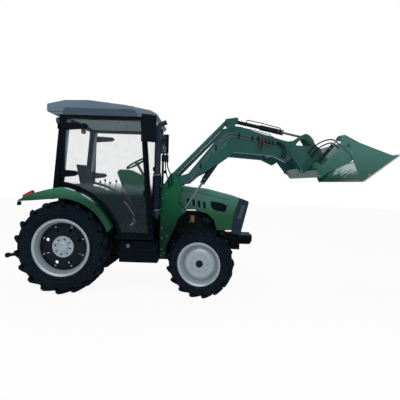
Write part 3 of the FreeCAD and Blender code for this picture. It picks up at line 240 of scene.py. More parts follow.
def linear(colour: str) -> tuple[float, float, float, float]:
    """Turns an sRGB hex string into linear colour values.

    Args:
        colour: A string such as "#1D5B42".

    Returns:
        Red, green, blue and alpha for a shader socket.
    """
    values = [int(colour[i:i + 2], 16) / 255.0 for i in (1, 3, 5)]
    curve = [v / 12.92 if v <= 0.04045 else ((v + 0.055) / 1.055) ** 2.4 for v in values]
    return (curve[0], curve[1], curve[2], 1.0)


class Wire:
    """A shader value that takes part in sums written as Python."""

    def __init__(self, board: "Board", socket: bpy.types.NodeSocket) -> None:
        self.board = board
        self.socket = socket

    def _math(self, kind: str, first: object, second: object) -> "Wire":
        return self.board.wire(self.board.node("ShaderNodeMath", {0: first, 1: second},
                                               operation=kind))

    def __add__(self, other: object) -> "Wire":
        return self._math("ADD", self, other)

    def __sub__(self, other: object) -> "Wire":
        return self._math("SUBTRACT", self, other)

    def __rsub__(self, other: object) -> "Wire":
        return self._math("SUBTRACT", other, self)

    def __mul__(self, other: object) -> "Wire":
        return self._math("MULTIPLY", self, other)

    def clamp(self, low: float, high: float) -> "Wire":
        """Holds the value between two limits and stretches it to run from 0 to 1."""
        return self.board.wire(self.board.node("ShaderNodeMapRange", {0: self, 1: low, 2: high}))


class Board:
    """The node tree of a shader."""

    def __init__(self, tree: bpy.types.NodeTree) -> None:
        self.tree = tree

    def node(self, kind: str, sockets: dict[int | str, object] | None = None,
             **settings: object) -> bpy.types.Node:
        """Adds a node.

        Args:
            kind: Its type.
            sockets: Values or wires for its inputs, by number or name.
            **settings: Its properties, which are set first.

        Returns:
            The new node.
        """
        made = self.tree.nodes.new(kind)
        for key, value in settings.items():
            setattr(made, key, value)
        for key, value in (sockets or {}).items():
            self.plug(made.inputs[key], value)
        return made

    def plug(self, slot: bpy.types.NodeSocket, value: object) -> None:
        """Links a wire into a socket, or sets its value."""
        if isinstance(value, Wire):
            self.tree.links.new(value.socket, slot)
        else:
            slot.default_value = value

    def wire(self, node: bpy.types.Node, output: int | str = 0) -> Wire:
        """One output of a node, by number or name."""
        return Wire(self, node.outputs[output])

    def place(self) -> Wire:
        """The point on the object, in metres."""
        return self.wire(self.node("ShaderNodeTexCoord"), "Object")

    def height(self) -> Wire:
        """The height above the ground, in metres."""
        return self.wire(self.node("ShaderNodeSeparateXYZ", {0: self.place()}), 2)

    def noise(self, scale: float, detail: float = 3.0, rough: float = 0.55) -> Wire:
        """Smooth noise of so many patches a metre."""
        return self.wire(self.node("ShaderNodeTexNoise", {
            "Vector": self.place(), "Scale": scale, "Detail": detail, "Roughness": rough}))

    def blend(self, factor: object, first: object, second: object) -> Wire:
        """Mixes two colours."""
        return self.wire(self.node("ShaderNodeMix", {0: factor, 6: first, 7: second},
                                   data_type="RGBA"), 2)


class Surface(Board):
    """The node tree of one material, with its one shader."""

    def __init__(self, name: str) -> None:
        self.material = bpy.data.materials.new(name)
        self.material.use_nodes = True
        super().__init__(self.material.node_tree)
        self.shader = self.tree.nodes["Principled BSDF"]
        self.output = self.tree.nodes["Material Output"]

    def fill(self, sockets: dict[str, object]) -> None:
        """Sets or links the shader's own sockets, by name."""
        for key, value in sockets.items():
            self.plug(self.shader.inputs[key], value)

    def relief(self, depth_mm: float, height: Wire) -> None:
        """Feeds a bump of a real depth to the shader."""
        self.fill({"Normal": self.wire(self.node("ShaderNodeBump", {
            "Strength": 0.6, "Distance": depth_mm / 1000.0, "Height": height}))})


DUST = "#7C8488"
BARE_METAL = "#A9ADAA"


def painted(look: Look) -> bpy.types.Material:
    """Builds the material of one finish.

    Args:
        look: The kind of surface.

    Returns:
        The material, with drifting colour, roughness, dust, wear, fine bump and a higher colour:
        painted sky sheen on the paints, bare steel on the scraped floor.
    """
    finish = FINISHES[look]
    surface = Surface(look.value)
    patches = surface.noise(finish.scale).clamp(0.35, 0.7) * finish.drift
    base = surface.blend(patches, linear(finish.colour), linear(finish.second))
    # Painted sheen: the colour turns lighter higher up, standing in for the sky's reflection on
    # upper surfaces; on the scraped clam floor this blend lays bare steel instead.
    if finish.sheen_and_scrape:
        level = surface.height()
        if finish.ragged:
            level = level + (surface.noise(7.0, 6.0, 0.75) - 0.5) * finish.ragged
        base = surface.blend(level.clamp(*finish.rise), base, linear(finish.sheen_and_scrape))
    if finish.dust:
        low = 1.0 - surface.height().clamp(0.1, 1.5)
        cover = low * surface.noise(22.0, 5.0, 0.7).clamp(0.4, 0.75) * finish.dust
        base = surface.blend(cover, base, linear(DUST))
    metal = finish.metal
    if finish.wear:
        edge = (0.72 - 0.2 * finish.wear, 0.8 - 0.15 * finish.wear)
        bare = surface.noise(5.0, 6.0, 0.7).clamp(*edge) * 0.9
        base = surface.blend(bare, base, linear(BARE_METAL))
        metal = bare * 0.8
    streaks = surface.noise(finish.scale * 6.0, 4.0) * (2.0 * finish.spread)
    surface.fill({"Base Color": base, "Metallic": metal,
                  "Roughness": streaks + (finish.rough - finish.spread),
                  "Specular IOR Level": finish.shine, "Coat Weight": finish.coat,
                  "Coat Roughness": 0.08})
    surface.relief(finish.bump, surface.noise(finish.grain, 2.0))
    return surface.material


def tinted_glass() -> bpy.types.Material:
    """Thin cab glass, clear above; the darker low part is painted shade for the dim lower cab.

    Returns:
        The material, see-through by its alpha.
    """
    surface = Surface(Look.GLASS.value)
    # Painted shade: the glass turns dark and less clear below 1.52 to 1.7 metres, for the dim
    # lower cab seen through it.
    low = 1.0 - surface.height().clamp(1.52, 1.7)
    dust = surface.noise(9.0, 4.0).clamp(0.3, 0.8)
    surface.fill({"Base Color": surface.blend(low, linear("#7E9298"), linear("#16242A")),
                  "Alpha": low * 0.62 + dust * 0.03 + 0.05, "Roughness": 0.05,
                  "Specular IOR Level": 0.2, "Coat Weight": 0.2})
    return surface.material


class Palette:
    """All the materials, made once each."""

    def __init__(self) -> None:
        self._made: dict[Look, bpy.types.Material] = {}

    def __getitem__(self, look: Look) -> bpy.types.Material:
        if look not in self._made:
            self._made[look] = tinted_glass() if look is Look.GLASS else painted(look)
        return self._made[look]


# ---------------------------------------------------------------- mesh building

X_AXIS, Y_AXIS, Z_AXIS = Vector((1, 0, 0)), Vector((0, 1, 0)), Vector((0, 0, 1))
MIDDLE = Vector((0, 0, 0))
POLE_GAP = 0.00003  # metres; points of a turned form this close become one pole
CREASE = 35.0  # degrees; a sharper edge isn't shaded smooth


def placed(name: str, data: bpy.types.ID) -> bpy.types.Object:
    """Makes an object of some data and puts it in the scene."""
    made = bpy.data.objects.new(name, data)
    bpy.context.scene.collection.objects.link(made)
    return made


def shaded(mesh: bmesh.types.BMesh, name: str, material: bpy.types.Material,
           crease: float = CREASE) -> bpy.types.Mesh:
    """Turns a bmesh into mesh data that is smooth between its creases, and frees it.

    Args:
        mesh: The bmesh.
        name: The data's name.
        material: Its finish.
        crease: The angle in degrees above which an edge stays sharp.

    Returns:
        The new data.
    """
    data = bpy.data.meshes.new(name)
    mesh.to_mesh(data)
    mesh.free()
    data.materials.clear()
    data.materials.append(material)
    for face in data.polygons:
        face.use_smooth = True
    data.set_sharp_from_angle(angle=math.radians(crease))
    return data


class Forge:
    """Shapes the mesh of one piece; lengths are in millimetres, points in metres."""

    def __init__(self) -> None:
        self.mesh = bmesh.new()

    def _polygon(self, points: Sequence[Vector]) -> bmesh.types.BMFace:
        """The face that a shape starts from."""
        return self.mesh.faces.new([self.mesh.verts.new(p) for p in points])

    def _grown(self, face: bmesh.types.BMFace) -> bmesh.types.BMFace:
        """Extrudes a face and gives back its copy at the far end."""
        made = bmesh.ops.extrude_face_region(self.mesh, geom=[face],
                                             use_keep_orig=True)["geom"]
        return next(item for item in made if isinstance(item, bmesh.types.BMFace))

    def _face_out(self) -> None:
        """Turns the faces of every shell away from its own middle."""
        bmesh.ops.recalc_face_normals(self.mesh, faces=self.mesh.faces)
        self.mesh.normal_update()
        rest = set(self.mesh.faces)
        while rest:
            queue = [rest.pop()]
            shell = set(queue)
            while queue:
                near = {f for e in queue.pop().edges for f in e.link_faces if f in rest}
                rest -= near
                shell |= near
                queue += near
            centres = {f: f.calc_center_median() for f in shell}
            middle = sum(centres.values(), Vector()) / len(shell)
            if sum((c - middle).dot(f.normal) * f.calc_area() for f, c in centres.items()) < 0.0:
                bmesh.ops.reverse_faces(self.mesh, faces=list(shell))

    def skin(self, rings: Sequence[Sequence[Vector]], caps: bool = True) -> None:
        """Extrudes a polygon from ring to ring.

        Args:
            rings: Rings of one number of points each.
            caps: Whether the two ends stay filled.
        """
        faces = [self._polygon(rings[0])]
        for ring in rings[1:]:
            faces.append(self._grown(faces[-1]))
            for vert, point in zip(faces[-1].verts, ring):
                vert.co = point
        spare = faces[1:-1] if caps else faces
        bmesh.ops.delete(self.mesh, geom=spare, context="FACES_ONLY")

    def prism(self, outline: Sequence[Flat], y0: float, y1: float) -> None:
        """Extrudes a plate from its side outline.

        Args:
            outline: Corner points as (x, z).
            y0: One face.
            y1: The other face.
        """
        plate = self._grown(self._polygon([at(x, y0, z) for x, z in outline]))
        bmesh.ops.translate(self.mesh, verts=plate.verts, vec=Y_AXIS * (y1 - y0) / 1000.0)

    def block(self, low: Point, high: Point) -> None:
        """Adds a box between two corners."""
        start, end = at(*low), at(*high)
        place = Matrix.Translation((start + end) / 2.0) @ Matrix.Diagonal((*(end - start), 1.0))
        bmesh.ops.create_cube(self.mesh, size=1.0, matrix=place)

    def pipe(self, points: Sequence[Vector], radius: float, sides: int = 10) -> None:
        """Adds a round pipe through points."""
        rings = []
        normal = None
        for i, point in enumerate(points):
            before = points[max(i - 1, 0)]
            after = points[min(i + 1, len(points) - 1)]
            axis = (after - before).normalized()
            if normal is None:
                normal = axis.orthogonal().normalized()
            normal = (normal - axis * normal.dot(axis)).normalized()
            side = axis.cross(normal)
            rings.append([point + (normal * math.cos(t) + side * math.sin(t)) * radius / 1000.0
                          for t in (2 * math.pi * k / sides for k in range(sides))])
        self.skin(rings)

    def rod(self, start: Vector, end: Vector, radius: float, sides: int = 16) -> None:
        """Adds a straight round rod."""
        self.pipe([start, end], radius, sides)

    def turned(self, profile: Sequence[Flat], centre: Vector, axis: Vector,
               sides: int = 48) -> None:
        """Spins a lathe form; a radius of 0 makes a closed pole.

        Args:
            profile: (radius, distance along the axis) points.
            centre: A point on the axis.
            axis: The axis direction.
            sides: Steps round the axis.
        """
        axis = axis.normalized()
        out = axis.orthogonal().normalized()
        old = set(self.mesh.verts)
        verts = [self.mesh.verts.new(centre + (axis * d + out * r) / 1000.0)
                 for r, d in profile]
        edges = [self.mesh.edges.new(pair) for pair in zip(verts, verts[1:])]
        bmesh.ops.spin(self.mesh, geom=verts + edges, cent=centre, axis=axis, dvec=MIDDLE,
                       angle=2 * math.pi, steps=sides, use_merge=True)
        if any(radius == 0.0 for radius, _ in profile):
            bmesh.ops.remove_doubles(self.mesh, dist=POLE_GAP,
                                     verts=[v for v in self.mesh.verts if v not in old])

    def bolt(self, centre: Vector, axis: Vector, size: float, height: float) -> None:
        """Adds a six-sided bolt head with a small washer."""
        axis = axis.normalized()
        washer, thick, head = size * 0.85, height * 0.3, size * 0.62
        self.turned([(0.0, thick), (washer, thick), (washer, 0.0)], centre, axis, 14)
        self.turned([(0.0, height), (size * 0.5, height), (head, height * 0.85), (head, 0.0)],
                    centre, axis, 6)

    def piece(self, name: str, body: str, material: bpy.types.Material, slot: str,
              smooth: float = CREASE) -> bpy.types.Object:
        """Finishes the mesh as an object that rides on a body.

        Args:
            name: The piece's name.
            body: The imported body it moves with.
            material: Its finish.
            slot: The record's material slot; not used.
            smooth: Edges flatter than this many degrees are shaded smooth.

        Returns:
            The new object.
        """
        self._face_out()
        made = placed(name, shaded(self.mesh, name, material, smooth))
        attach(made, body)
        return made


# ---------------------------------------------------------------- wheels

@dataclass(frozen=True)
class WheelKind:
    """The sizes of one kind of wheel, in millimetres.

    Attributes:
        radius: Over the tread bars.
        width: Over the sidewalls.
        seat: Radius of the rim where the tyre sits.
        lip: Radius of the rim's flange.
        lugs: Tread bars on each side.
        lug_height: How far a bar stands out of the carcass.
        lug_width: Width of a bar at the middle of the tread.
        sweep: How far a bar runs round the wheel, in degrees.
    """

    radius: float
    width: float
    seat: float
    lip: float
    lugs: int
    lug_height: float
    lug_width: float
    sweep: float


REAR = WheelKind(707.5, 380.0, 405.0, 430.0, 18, 34.0, 46.0, 13.0)
FRONT = WheelKind(515.0, 240.0, 305.0, 328.0, 16, 24.0, 34.0, 13.0)


@dataclass(frozen=True)
class WheelPlace:
    """Where a wheel stands.

    Attributes:
        name: Its end and side, as in the node names.
        body: The body it turns with.
        kind: Its sizes.
        side: 1 on the left, -1 on the right.
        centre: The middle of the wheel in metres.
        turn: How far it is steered, in degrees.
    """

    name: str
    body: str
    kind: WheelKind
    side: int
    centre: Vector
    turn: float

    def matrix(self) -> Matrix:
        """Places a wheel that was made about the Y axis with its outer face at +Y."""
        spin = Matrix.Rotation(math.radians(self.turn), 4, "Z")
        flip = Matrix.Rotation(math.pi if self.side < 0 else 0.0, 4, "Z")
        return Matrix.Translation(self.centre) @ spin @ flip


def wheel_places() -> list[WheelPlace]:
    """The four wheels, with the front pair steered as it is parked."""
    steer, stub, kingpin_x, kingpin_y, rear_y = 14.0, 155.0, 2136.0, 585.0, 685.0
    angle = math.radians(steer)
    places = []
    for side, word in ((1, "left"), (-1, "right")):
        places.append(WheelPlace("rear_" + word, "rear_wheel_" + word, REAR, side,
                                 at(0, side * rear_y, REAR.radius), 0.0))
        x = kingpin_x + side * stub * math.sin(angle)
        y = side * (kingpin_y + stub * math.cos(angle))
        places.append(WheelPlace("front_" + word, "front_wheel_" + word, FRONT, side,
                                 at(x, y, FRONT.radius), -steer))
    return places


def around(angle: float, radius: float, y: float) -> Vector:
    """A point on a wheel about the Y axis, from an angle in radians and millimetres."""
    return Vector((math.cos(angle) * radius, y, math.sin(angle) * radius)) / 1000.0


@dataclass(frozen=True)
class Station:
    """One section of a tread bar.

    Attributes:
        out: Distance from the middle, as a share of half the tread.
        run: How far it is round the wheel, as a share of the sweep.
        rise: Height of its top above the carcass, as a share of a bar's height.
        drop: How far the top is lowered from there, in millimetres.
        foot: Depth of its foot below the carcass's crown, in millimetres.
    """

    out: float
    run: float
    rise: float
    drop: float
    foot: float


TREAD_BAR = (
    Station(-0.06, 0.0, 1.0, 0.0, 12.0), Station(0.25, 0.22, 1.0, 0.0, 12.0),
    Station(0.55, 0.5, 1.0, 0.0, 12.0), Station(0.8, 0.76, 0.99, 0.0, 12.0),
    Station(0.93, 0.9, 0.93, 0.0, 12.0), Station(1.0, 1.02, 0.35, 0.0, 30.0),
    Station(1.0, 1.1, 0.0, 34.0, 52.0),
)


class Tyre:
    """One farm tyre: a round carcass with bars of tread set in a chevron."""

    steps = 96

    def __init__(self, place: WheelPlace) -> None:
        self.place = place
        self.kind = place.kind
        self.forge = Forge()

    def carcass(self) -> None:
        """The carcass with its bulged sidewalls, bead and rim guard."""
        k = self.kind
        half = k.width / 2.0
        base = k.radius - k.lug_height
        deep = k.lip + (base - k.lip) * 0.5
        side = [(k.seat + 1, half - 30), (k.lip + 2, half - 23), (k.lip + 9, half - 13),
                (k.lip + 22, half - 9), (k.lip + 34, half - 7), (deep - 24, half - 1.5),
                (deep + 12, half - 0.5), (deep + 40, half - 4), (base - 42, half - 14),
                (base - 22, half - 26), (base - 8, half - 52), (base, half * 0.4), (base + 1, 0)]
        profile = side + [(r, -y) for r, y in reversed(side[:-1])]
        self.forge.turned(profile, MIDDLE, Y_AXIS, self.steps)
        for level in (k.lip + 48, deep + 26):
            self.forge.turned([(level - 2.5, half - 5), (level, half - 0.2),
                               (level + 2.5, half - 5)], MIDDLE, Y_AXIS, self.steps)

    def bar(self, angle: float, side: int) -> None:
        """One tread bar, from just past the middle out to the shoulder and down its side."""
        k = self.kind
        half = k.width / 2.0
        base = k.radius - k.lug_height
        rows = []
        for cut in TREAD_BAR:
            y = side * cut.out * (half - 1.0)
            turn = angle + math.radians(k.sweep) * cut.run
            top = base + k.lug_height * cut.rise - cut.drop
            foot = base - cut.foot
            wide = k.lug_width * (1.0 + 0.25 * cut.out) / 2.0
            crest = wide * 0.72
            section = ((-wide, foot), (-crest, top - 3), (5 - crest, top), (crest - 5, top),
                       (crest, top - 3), (wide, foot))
            rows.append([around(turn + shift / top, radius, y) for shift, radius in section])
        self.forge.skin(rows)

    def build(self, palette: Palette) -> bpy.types.Object:
        """Makes the tyre and puts it in place of the plain one."""
        self.carcass()
        step = 2 * math.pi / self.kind.lugs
        for i in range(self.kind.lugs):
            self.bar(i * step, 1)
            self.bar((i + 0.5) * step, -1)
        bmesh.ops.transform(self.forge.mesh, matrix=self.place.matrix(),
                            verts=self.forge.mesh.verts)
        name = self.place.name
        made = self.forge.piece("tyre_" + name, self.place.body, palette[Look.TYRE],
                                "tyre_rubber", 40.0)
        end, side = name.split("_")
        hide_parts(f"{end}_tyre_{side}")
        return made


class Rim:
    """One dished rim with its hub, bolts and hand holes."""

    steps = 80

    def __init__(self, place: WheelPlace) -> None:
        self.place = place
        self.kind = place.kind
        self.forge = Forge()
        self.dark = Forge()

    def barrel(self) -> None:
        """The rolled rim from flange to flange."""
        k = self.kind
        edge = k.width / 2.0 - 22.0
        outer = [(k.lip + 1, edge), (k.lip + 4, edge + 5), (k.lip - 2, edge + 9),
                 (k.lip - 10, edge + 6), (k.seat - 6, edge - 6), (k.seat - 14, edge - 34),
                 (k.seat - 34, edge - 62), (k.seat - 40, edge - 90)]
        profile = outer + [(r, -y) for r, y in reversed(outer)]
        back = [(r + 6, y) for r, y in reversed(profile)]
        self.forge.turned(profile + back, MIDDLE, Y_AXIS, self.steps)

    def holed_disc(self, hub: float, rim: float, holes: int, hole_at: float, size: float,
                   hub_y: float, rim_y: float) -> None:
        """A dished disc with round holes, as a thin shell.

        Args:
            hub: Radius where the disc starts.
            rim: Radius where it ends.
            holes: Number of holes.
            hole_at: Radius of the ring of holes.
            size: Radius of each hole.
            hub_y: Distance out at the hub.
            rim_y: Distance out at the rim.
        """
        def lift(radius: float) -> float:
            share = (radius - hub) / (rim - hub)
            return hub_y + (rim_y - hub_y) * (3 * share ** 2 - 2 * share ** 3)

        sector, steps, sheet = 2 * math.pi / holes, 16, 9.0
        edge, border = [], []
        for k in range(steps):
            t = 2 * math.pi * k / steps
            c, s = math.cos(t), math.sin(t)
            grow = 1.0 / max(abs(c), abs(s))
            edge.append((hole_at + size * c, size * s / hole_at))
            r = hole_at + (rim - hole_at if c > 0 else hole_at - hub) * c * grow
            border.append((r, s * grow * sector / 2.0))
        for n in range(holes):
            middle = (n + 0.5) * sector
            rings = [[around(middle + a, r, lift(r) - back) for r, a in ring]
                     for ring, back in ((border, 0.0), (edge, 0.0), (edge, sheet),
                                        (border, sheet))]
            self.dark.skin(rings, caps=False)

    def rear_dress(self) -> None:
        """The rear rim's dark set-in disc, its clamp lugs and the hub flange."""
        self.holed_disc(150.0, 352.0, 8, 262.0, 25.0, 60.0, 36.0)
        self.dark.turned([(345.0, 46.0), (372.0, 40.0), (372.0, 24.0), (345.0, 24.0)],
                         MIDDLE, Y_AXIS, self.steps)
        for n in range(8):
            angle = (n + 0.5) * math.pi / 4.0
            self.forge.bolt(around(angle, 322.0, 44.0), Y_AXIS, 17.0, 20.0)
            for turn in (-0.09, 0.09):
                self.dark.rod(around(angle + turn, 330.0, 40.0),
                              around(angle + turn, 372.0, 48.0), 9.0, 8)
        hub = [(150.0, 58.0), (162.0, 60.0), (166.0, 70.0), (162.0, 78.0), (120.0, 80.0),
               (84.0, 82.0), (80.0, 100.0), (66.0, 108.0), (30.0, 110.0), (0.0, 110.0)]
        self.forge.turned(hub, MIDDLE, Y_AXIS, 48)
        for n in range(8):
            self.dark.bolt(around(n * math.pi / 4.0 + 0.2, 118.0, 80.0), Y_AXIS, 15.0, 18.0)

    def front_dress(self) -> None:
        """The front rim's convex disc, its two rings of bolts and the hub cap."""
        disc = [(150.0, 52.0), (180.0, 56.0), (205.0, 53.0), (228.0, 40.0), (246.0, 22.0),
                (262.0, 10.0), (272.0, 4.0), (272.0, -6.0), (255.0, 2.0), (228.0, 28.0),
                (205.0, 43.0), (180.0, 47.0), (150.0, 43.0)]
        self.forge.turned(disc, MIDDLE, Y_AXIS, 64)
        self.forge.turned([(0.0, 40.0), (110.0, 40.0), (128.0, 36.0), (150.0, 44.0),
                           (150.0, 34.0), (0.0, 26.0)], MIDDLE, Y_AXIS, 48)
        cap = [(54.0, 38.0), (54.0, 60.0), (48.0, 68.0), (30.0, 71.0), (26.0, 82.0),
               (18.0, 86.0), (0.0, 87.0)]
        self.dark.turned(cap, MIDDLE, Y_AXIS, 40)
        for n in range(8):
            self.forge.bolt(around(n * math.pi / 4.0, 119.0, 38.0), Y_AXIS, 12.0, 16.0)
        for n in range(6):
            self.forge.bolt(around(n * math.pi / 3.0, 76.0, 40.0), Y_AXIS, 7.0, 8.0)

    def build(self, palette: Palette) -> None:
        """Makes the rim and puts it in place of the plain one."""
        self.barrel()
        if self.kind is REAR:
            self.rear_dress()
        else:
            self.front_dress()
        name = self.place.name
        end, side = name.split("_")
        valve = around(1.1, self.kind.seat - 26.0, self.kind.width / 2.0 - 60.0)
        self.dark.rod(valve, valve + Y_AXIS * 0.03, 5.0, 8)
        for forge in (self.forge, self.dark):
            bmesh.ops.transform(forge.mesh, matrix=self.place.matrix(), verts=forge.mesh.verts)
        made = self.forge.piece("rim_" + name, self.place.body, palette[Look.RIM], "rim_paint")
        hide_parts(f"{end}_rim_{side}")
        self.dark.piece("disc_" + name, self.place.body, palette[Look.STEEL], "black_paint")


# ---------------------------------------------------------------- hoses

@dataclass(frozen=True)
class Hose:
    """One hydraulic hose.

    Attributes:
        name: The piece's name.
        node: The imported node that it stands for.
        body: The body it rides on.
        radius: Its radius in millimetres.
        length: Its real length in metres.
        route: Its points in millimetres, from the rear axle.
    """

    name: str
    node: str
    body: str
    radius: float
    length: float
    route: tuple[Point, ...]

    def mirrored(self) -> "Hose":
        """The same hose on the other side of the machine."""
        return Hose(self.name.replace("left", "right"), self.node, self.body, self.radius,
                    self.length, tuple((x, -y, z) for x, y, z in self.route))

    def build(self, palette: Palette) -> None:
        """Lays the hose as a smooth curve with a crimped sleeve at each end."""
        data = bpy.data.curves.new(self.name, "CURVE")
        data.dimensions = "3D"
        data.bevel_depth = self.radius / 1000.0
        data.bevel_resolution = 4
        data.resolution_u = 10
        data.use_fill_caps = True
        spline = data.splines.new("NURBS")
        spline.points.add(len(self.route) - 1)
        for point, place in zip(spline.points, self.route):
            point.co = (*at(*place), 1.0)
        spline.order_u = 3
        spline.use_endpoint_u = True
        data.materials.append(palette[Look.HOSE])
        made = placed(self.name, data)
        sleeves = Forge()
        for first, second in (self.route[:2], self.route[:-3:-1]):
            start, towards = at(*first), at(*second)
            axis = (towards - start).normalized()
            r = self.radius
            sleeves.turned([(r + 0.3, 0.0), (r + 4.0, 0.0), (r + 4.0, 8.0), (r + 2.5, 9.0),
                            (r + 2.5, 24.0), (r + 1.0, 26.0), (r + 0.3, 26.0)], start, axis, 18)
        rings = sleeves.piece("sleeves_" + self.name, self.body, palette[Look.PIN], "pin_steel")
        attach(made, self.body)
        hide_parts(self.node)
        tuple(at(*self.route[0]))
        self.radius / 500.0


HOSES = (
    Hose("valve_hose_rear", "valve_hoses", "tractor", 9.0, 0.466,
         ((1508, -536, 2060), (1508, -536, 1985), (1522, -575, 1905), (1545, -610, 1830),
          (1578, -612, 1745), (1572, -612, 1650), (1572, -572, 1650))),
    Hose("valve_hose_front", "valve_hoses", "tractor", 9.0, 0.434,
         ((1536, -536, 2060), (1536, -536, 1990), (1570, -585, 1920), (1600, -612, 1850),
          (1624, -612, 1770), (1616, -612, 1690), (1616, -572, 1690))),
    Hose("coupler_hose_upper", "coupler_hoses", "loader_boom", 9.0, 0.409,
         ((3190, -586, 2414), (3270, -586, 2414), (3346, -600, 2356), (3382, -604, 2268),
          (3376, -604, 2214), (3352, -604, 2172), (3352, -555, 2172))),
    Hose("coupler_hose_lower", "coupler_hoses", "loader_boom", 9.0, 0.342,
         ((3190, -586, 2394), (3250, -586, 2394), (3308, -600, 2334), (3340, -604, 2262),
          (3332, -604, 2220), (3308, -604, 2186), (3308, -555, 2186))),
)
BUCKET_HOSES = (
    Hose("bucket_hose_left_upper", "bucket_hoses", "bucket", 10.0, 0.624,
         ((3722, 573, 2262), (3722, 630, 2262), (3748, 690, 2330), (3830, 745, 2402),
          (3935, 770, 2450), (4035, 775, 2456), (4095.8, 775, 2411.0), (4138.1, 775, 2368.4))),
    Hose("bucket_hose_left_lower", "bucket_hoses", "bucket", 10.0, 0.553,
         ((3770, 573, 2222), (3770, 630, 2222), (3800, 720, 2300), (3880, 785, 2364),
          (3950, 812, 2396), (4005, 818, 2400), (4053.2, 818, 2368.8), (4095.5, 818, 2326.2))),
)


# ---------------------------------------------------------------- stage and camera

@dataclass(frozen=True)
class Lamp:
    """One square soft lamp: where it is and what it looks at in metres, and its watts."""

    name: str
    place: Point
    aim: Point
    size: float
    watts: float


LAMPS = (
    Lamp("key", (-2.5, -6.5, 6.0), (0, 0, 1.0), 6.0, 210.0),
    Lamp("fill", (5.5, -6.0, 3.0), (0.5, 0, 1.2), 5.0, 80.0),
    Lamp("top", (0.0, 1.0, 8.0), (0, 0, 0), 7.0, 150.0),
    Lamp("rim", (-2.0, 7.0, 4.0), (0, 0, 1.2), 5.0, 70.0),
)
WHITE = (1.0, 1.0, 1.0, 1.0)
SOFT_SKY = (0.94, 0.97, 1.0, 1.0)
PALE = (0.9, 0.9, 0.9, 1.0)


class Studio:
    """The floor, the lights, the world and the camera.

    Attributes:
        lens: The camera's focal length over the width of its sensor.
        sensor: That width in millimetres.
        pitch: How far the camera looks down, in radians.
        roll: How far it is turned about its own axis, in radians.
        eye: Where it stands.
        floor_share: How much of the floor's look is plain white to the camera.
    """

    lens = 344.6 / 400.0
    sensor = 36.0
    pitch = math.radians(2.83)
    roll = math.radians(1.8)
    eye = at(2067.0, -5970.0, 1745.0)
    floor_share = 0.93

    def camera(self) -> None:
        """Sets the camera at the viewing angle."""
        data = bpy.data.cameras.new("camera")
        data.sensor_width = self.sensor
        data.lens = self.lens * self.sensor
        data.clip_end = 100.0
        ahead = Vector((0, math.cos(self.pitch), -math.sin(self.pitch)))
        up = Vector((0, math.sin(self.pitch), math.cos(self.pitch)))
        tilted = X_AXIS * math.cos(self.roll) + up * math.sin(self.roll)
        risen = up * math.cos(self.roll) - X_AXIS * math.sin(self.roll)
        frame = Matrix((tilted, risen, -ahead)).transposed().to_4x4()
        made = placed("camera", data)
        made.matrix_world = Matrix.Translation(self.eye) @ frame
        bpy.context.scene.camera = made

    def world(self) -> None:
        """A soft white surround that shows white to the camera and through glass."""
        world = bpy.data.worlds.new("studio")
        bpy.context.scene.world = world
        world.use_nodes = True
        world.node_tree.nodes.clear()
        board = Board(world.node_tree)
        path = board.node("ShaderNodeLightPath")
        seen = board.node("ShaderNodeMath", {0: board.wire(path, "Is Camera Ray"),
                                             1: board.wire(path, "Is Transmission Ray")},
                          operation="MAXIMUM")
        soft = board.node("ShaderNodeBackground", {0: SOFT_SKY, 1: 0.5})
        white = board.node("ShaderNodeBackground", {0: WHITE, 1: 1.0})
        mix = board.node("ShaderNodeMixShader", {0: board.wire(seen), 1: board.wire(soft),
                                                 2: board.wire(white)})
        board.node("ShaderNodeOutputWorld", {0: board.wire(mix)})

    def floor(self) -> None:
        """A pale floor that keeps the machine's shadow."""
        surface = Surface("floor_pale")
        surface.fill({"Base Color": PALE, "Roughness": 0.9})
        path = surface.node("ShaderNodeLightPath")
        share = surface.node("ShaderNodeMath", {0: surface.wire(path, "Is Camera Ray"),
                                                1: self.floor_share}, operation="MULTIPLY")
        glow = surface.node("ShaderNodeEmission", {1: 1.0})
        mix = surface.node("ShaderNodeMixShader", {
            0: surface.wire(share), 1: surface.wire(surface.shader), 2: surface.wire(glow)})
        surface.plug(surface.output.inputs[0], surface.wire(mix))
        mesh = bmesh.new()
        place = Matrix.Translation((0.0, 7.5, -0.001)) @ Matrix.Diagonal((16.0, 16.5, 1.0, 1.0))
        bmesh.ops.create_grid(mesh, x_segments=1, y_segments=1, size=1.0, matrix=place)
        placed("floor", shaded(mesh, "floor", surface.material))

    def lights(self) -> None:
        """The large soft lamps."""
        for lamp in LAMPS:
            data = bpy.data.lights.new(lamp.name, "AREA")
            data.size = lamp.size
            data.energy = lamp.watts
            made = placed(lamp.name, data)
            made.location = lamp.place
            view = Vector(lamp.aim) - Vector(lamp.place)
            made.rotation_euler = view.to_track_quat("-Z", "Y").to_euler()

    def build(self) -> None:
        """Sets up everything around the machine."""
        self.camera()
        self.world()
        self.floor()
        self.lights()
        bpy.context.scene.view_settings.view_transform = "Standard"


# ---------------------------------------------------------------- fittings

SLOTS = {
    Look.LOADER: "green_paint", Look.SCRAPED: "green_paint", Look.BUCKET: "green_paint",
    Look.WORN: "pin_steel", Look.LEVER: "red_lens", Look.FILTER: "cast_grey",
    Look.LENS: "lamp_body", Look.LINER: "roof_plastic", Look.PANEL: "roof_plastic",
    Look.MIRROR: "rod_chrome",
}


@dataclass(frozen=True)
class Pin:
    """A pin's end outside its plates: the body it turns with and where it is."""

    body: str
    x: float
    z: float
    y: float
    radius: float


